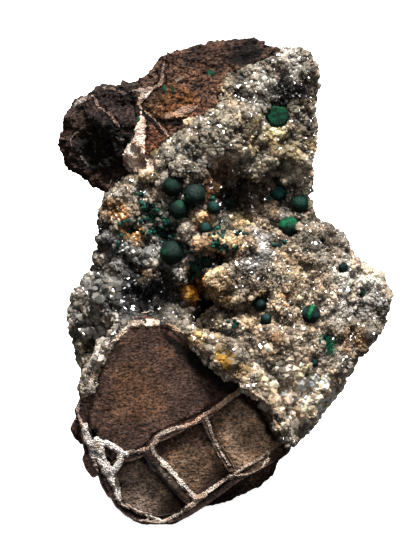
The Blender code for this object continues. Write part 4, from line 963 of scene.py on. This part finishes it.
def drape(name, strokes, lift, trees, material, slot, seed):  # a thin skin that follows the surfaces it lies on
    corners = np.array([place[:2] for _, line in strokes for place in line])
    low, high = corners.min(axis=0) - 2, corners.max(axis=0) + 2
    grid = np.stack(np.meshgrid(*(np.arange(low[k], high[k], skin["step"]) for k in (0, 1))), axis=-1)
    spots = grid.reshape(-1, 2)
    spread = np.c_[spots, np.zeros(len(spots))]
    inside, colours = insideStrokes(spots, strokes)
    inside += (wavering(spread, 1.1, seed) + wavering(spread, 0.5, seed + 3)) * 0.13
    near = inside > -1
    start, ways, distances = seenSurface(trees, spots[near])
    picture = np.full(len(spots), np.inf)
    picture[near] = distances
    missed = ~np.isfinite(picture)
    picture = picture.reshape(grid.shape[:2])
    steps = range(-skin["bridge"], skin["bridge"] + 1)
    for nearest in (np.minimum, np.maximum):
        picture = nearest.reduce([np.roll(picture, (down, side), (0, 1)) for down in steps for side in steps])
    distance = picture.ravel()
    kept = (inside > -skin["edge"]) & ~missed & np.isfinite(distance)
    rise = np.where(inside > 0, lift * np.sqrt(np.clip(inside / 0.5, 0, 1)), inside * 1.2)
    rise += (wavering(spread, 0.6, seed + 1) * 0.25 + wavering(spread, 1.6, seed + 4) * 0.5) * np.clip(lift, 0, 0.5)
    allWays = np.zeros((len(spots), 3))
    allWays[near] = ways
    points = start + allWays * (np.where(kept, distance, 0) - rise * mm)[:, None]
    numbers = np.arange(len(spots)).reshape(grid.shape[:2])
    quads = [numbers[:-1, :-1], numbers[:-1, 1:], numbers[1:, 1:], numbers[1:, :-1]]
    quads = np.stack(quads, axis=-1).reshape(-1, 4)
    quads = quads[kept[quads].all(axis=1)]
    quads = quads[np.ptp(distance[quads], axis=1) < skin["jump"] * mm]
    used, renumbered = np.unique(quads, return_inverse=True)
    piece = meshPiece(name, points[used], renumbered.reshape(-1, 4))
    colours = colours[used] * np.exp(0.45 * wavering(spread[used], 1.2, seed + 2))[:, None]
    paint(piece, "tint", np.clip(colours, 0, 1))
    applied(piece, "SMOOTH", {"iterations": 1, "factor": 0.5})
    applied(piece, "SOLIDIFY", {"thickness": skin["thickness"] * mm, "offset": -1})
    bpy.ops.object.shade_smooth()
    finishPiece(piece, material, slot)


stage = {
    "paper": {"Base Color": (0.9, 0.9, 0.9, 1), "Roughness": 0.9, "Emission Color": (1, 1, 1, 1),
              "Emission Strength": 0.95},
    "sky": 0.1,  # strength of the even white light from all round
    "aim": (0, 0, 0.05),
    "lights": {  # place and size in metres, and watts
        "softTop": ((0.06, -0.13, 0.6), 0.12, 13),
        "softFront": ((0.25, -0.6, 0.35), 0.2, 1.0),
        "softBack": ((-0.1, 0.55, 0.4), 0.3, 5.0),
        "glintLeft": ((-0.3, -0.45, 0.45), 0.03, 0.45),
        "glintRight": ((0.25, -0.3, 0.55), 0.03, 0.45),
    },
}


def buildStage():
    bpy.ops.mesh.primitive_plane_add(size=4)
    floor = bpy.context.object
    floor.name = "paleFloor"
    floor.data.materials.append(newMaterial("paleStudioPaper", stage["paper"])[0])
    floor.visible_diffuse = floor.visible_glossy = floor.visible_transmission = False
    world = bpy.data.worlds.new("studio")
    bpy.context.scene.world = world
    world.use_nodes = True
    sky = world.node_tree.nodes["Background"]
    sky.inputs["Color"].default_value = (1, 1, 1, 1)
    sky.inputs["Strength"].default_value = stage["sky"]
    for name, (place, size, watts) in stage["lights"].items():
        data = bpy.data.lights.new(name, "AREA")
        data.size = size
        data.energy = watts
        light = newPiece(name, data)
        light.location = place
        light.rotation_euler = (Vector(stage["aim"]) - Vector(place)).to_track_quat("-Z", "Y").to_euler()


def buildCamera():
    data = bpy.data.cameras.new("camera")
    data.sensor_width = view["sensor"]
    data.lens = view["sensor"] * (view["distance"] - view["plane"]) / (view["pixels"] * view["pixel"])
    camera = newPiece("camera", data)
    camera.matrix_world = standing @ Matrix.Translation(Vector((0, view["up"], view["distance"])) * mm)
    bpy.context.scene.camera = camera


bpy.context.scene.view_settings.view_transform = "Standard"
print("rock")
rockPiece = buildRock()
nodeTree = treeOf(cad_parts["host_rock"])
print("malachite balls")
balls = buildBalls()
roundOnes = [*balls, ballOf("malachite_split_ball")]
ballSpots = []
for centre, radius in roundOnes:
    across, up, height = seenAt(onFace([centre]))[0]
    ballSpots.append((across, up, radius / mm, height))
print("druse")
drusePiece, level = buildDruse(ballSpots)
druseTree = treeOf(drusePiece)
beadSpots = buildBeads(druseTree)
print("crystals")
growCrystals(drusePiece, nodeTree, level, roundOnes, beadSpots, veins["masses"])
print("veins")
veinTrees = buildVeins(rockPiece)
veinQuartz = veinMaterial()
drape("veinBands", veins["bands"], 0.14, veinTrees, veinQuartz, "vein", 50)
drape("paleLedge", veins["ledge"], 0.05, veinTrees, veinQuartz, "vein", 51)
drape("faintVeinsAndRimHighlights", veins["faint"], 0.08, veinTrees, veinQuartz, "vein", 52)
drape("quartzMasses", veins["masses"], 0.4, [*veinTrees, druseTree], veinQuartz, "vein", 55)
print("broken ball, spray and flecks")
silkyMalachite = buildSplitBall()
buildSpray(silkyMalachite)
drape("rockFlecks", veins["flecks"], 0.25, veinTrees, silkyMalachite, "malachite", 60)
print("stage")
buildStage()
buildCamera()
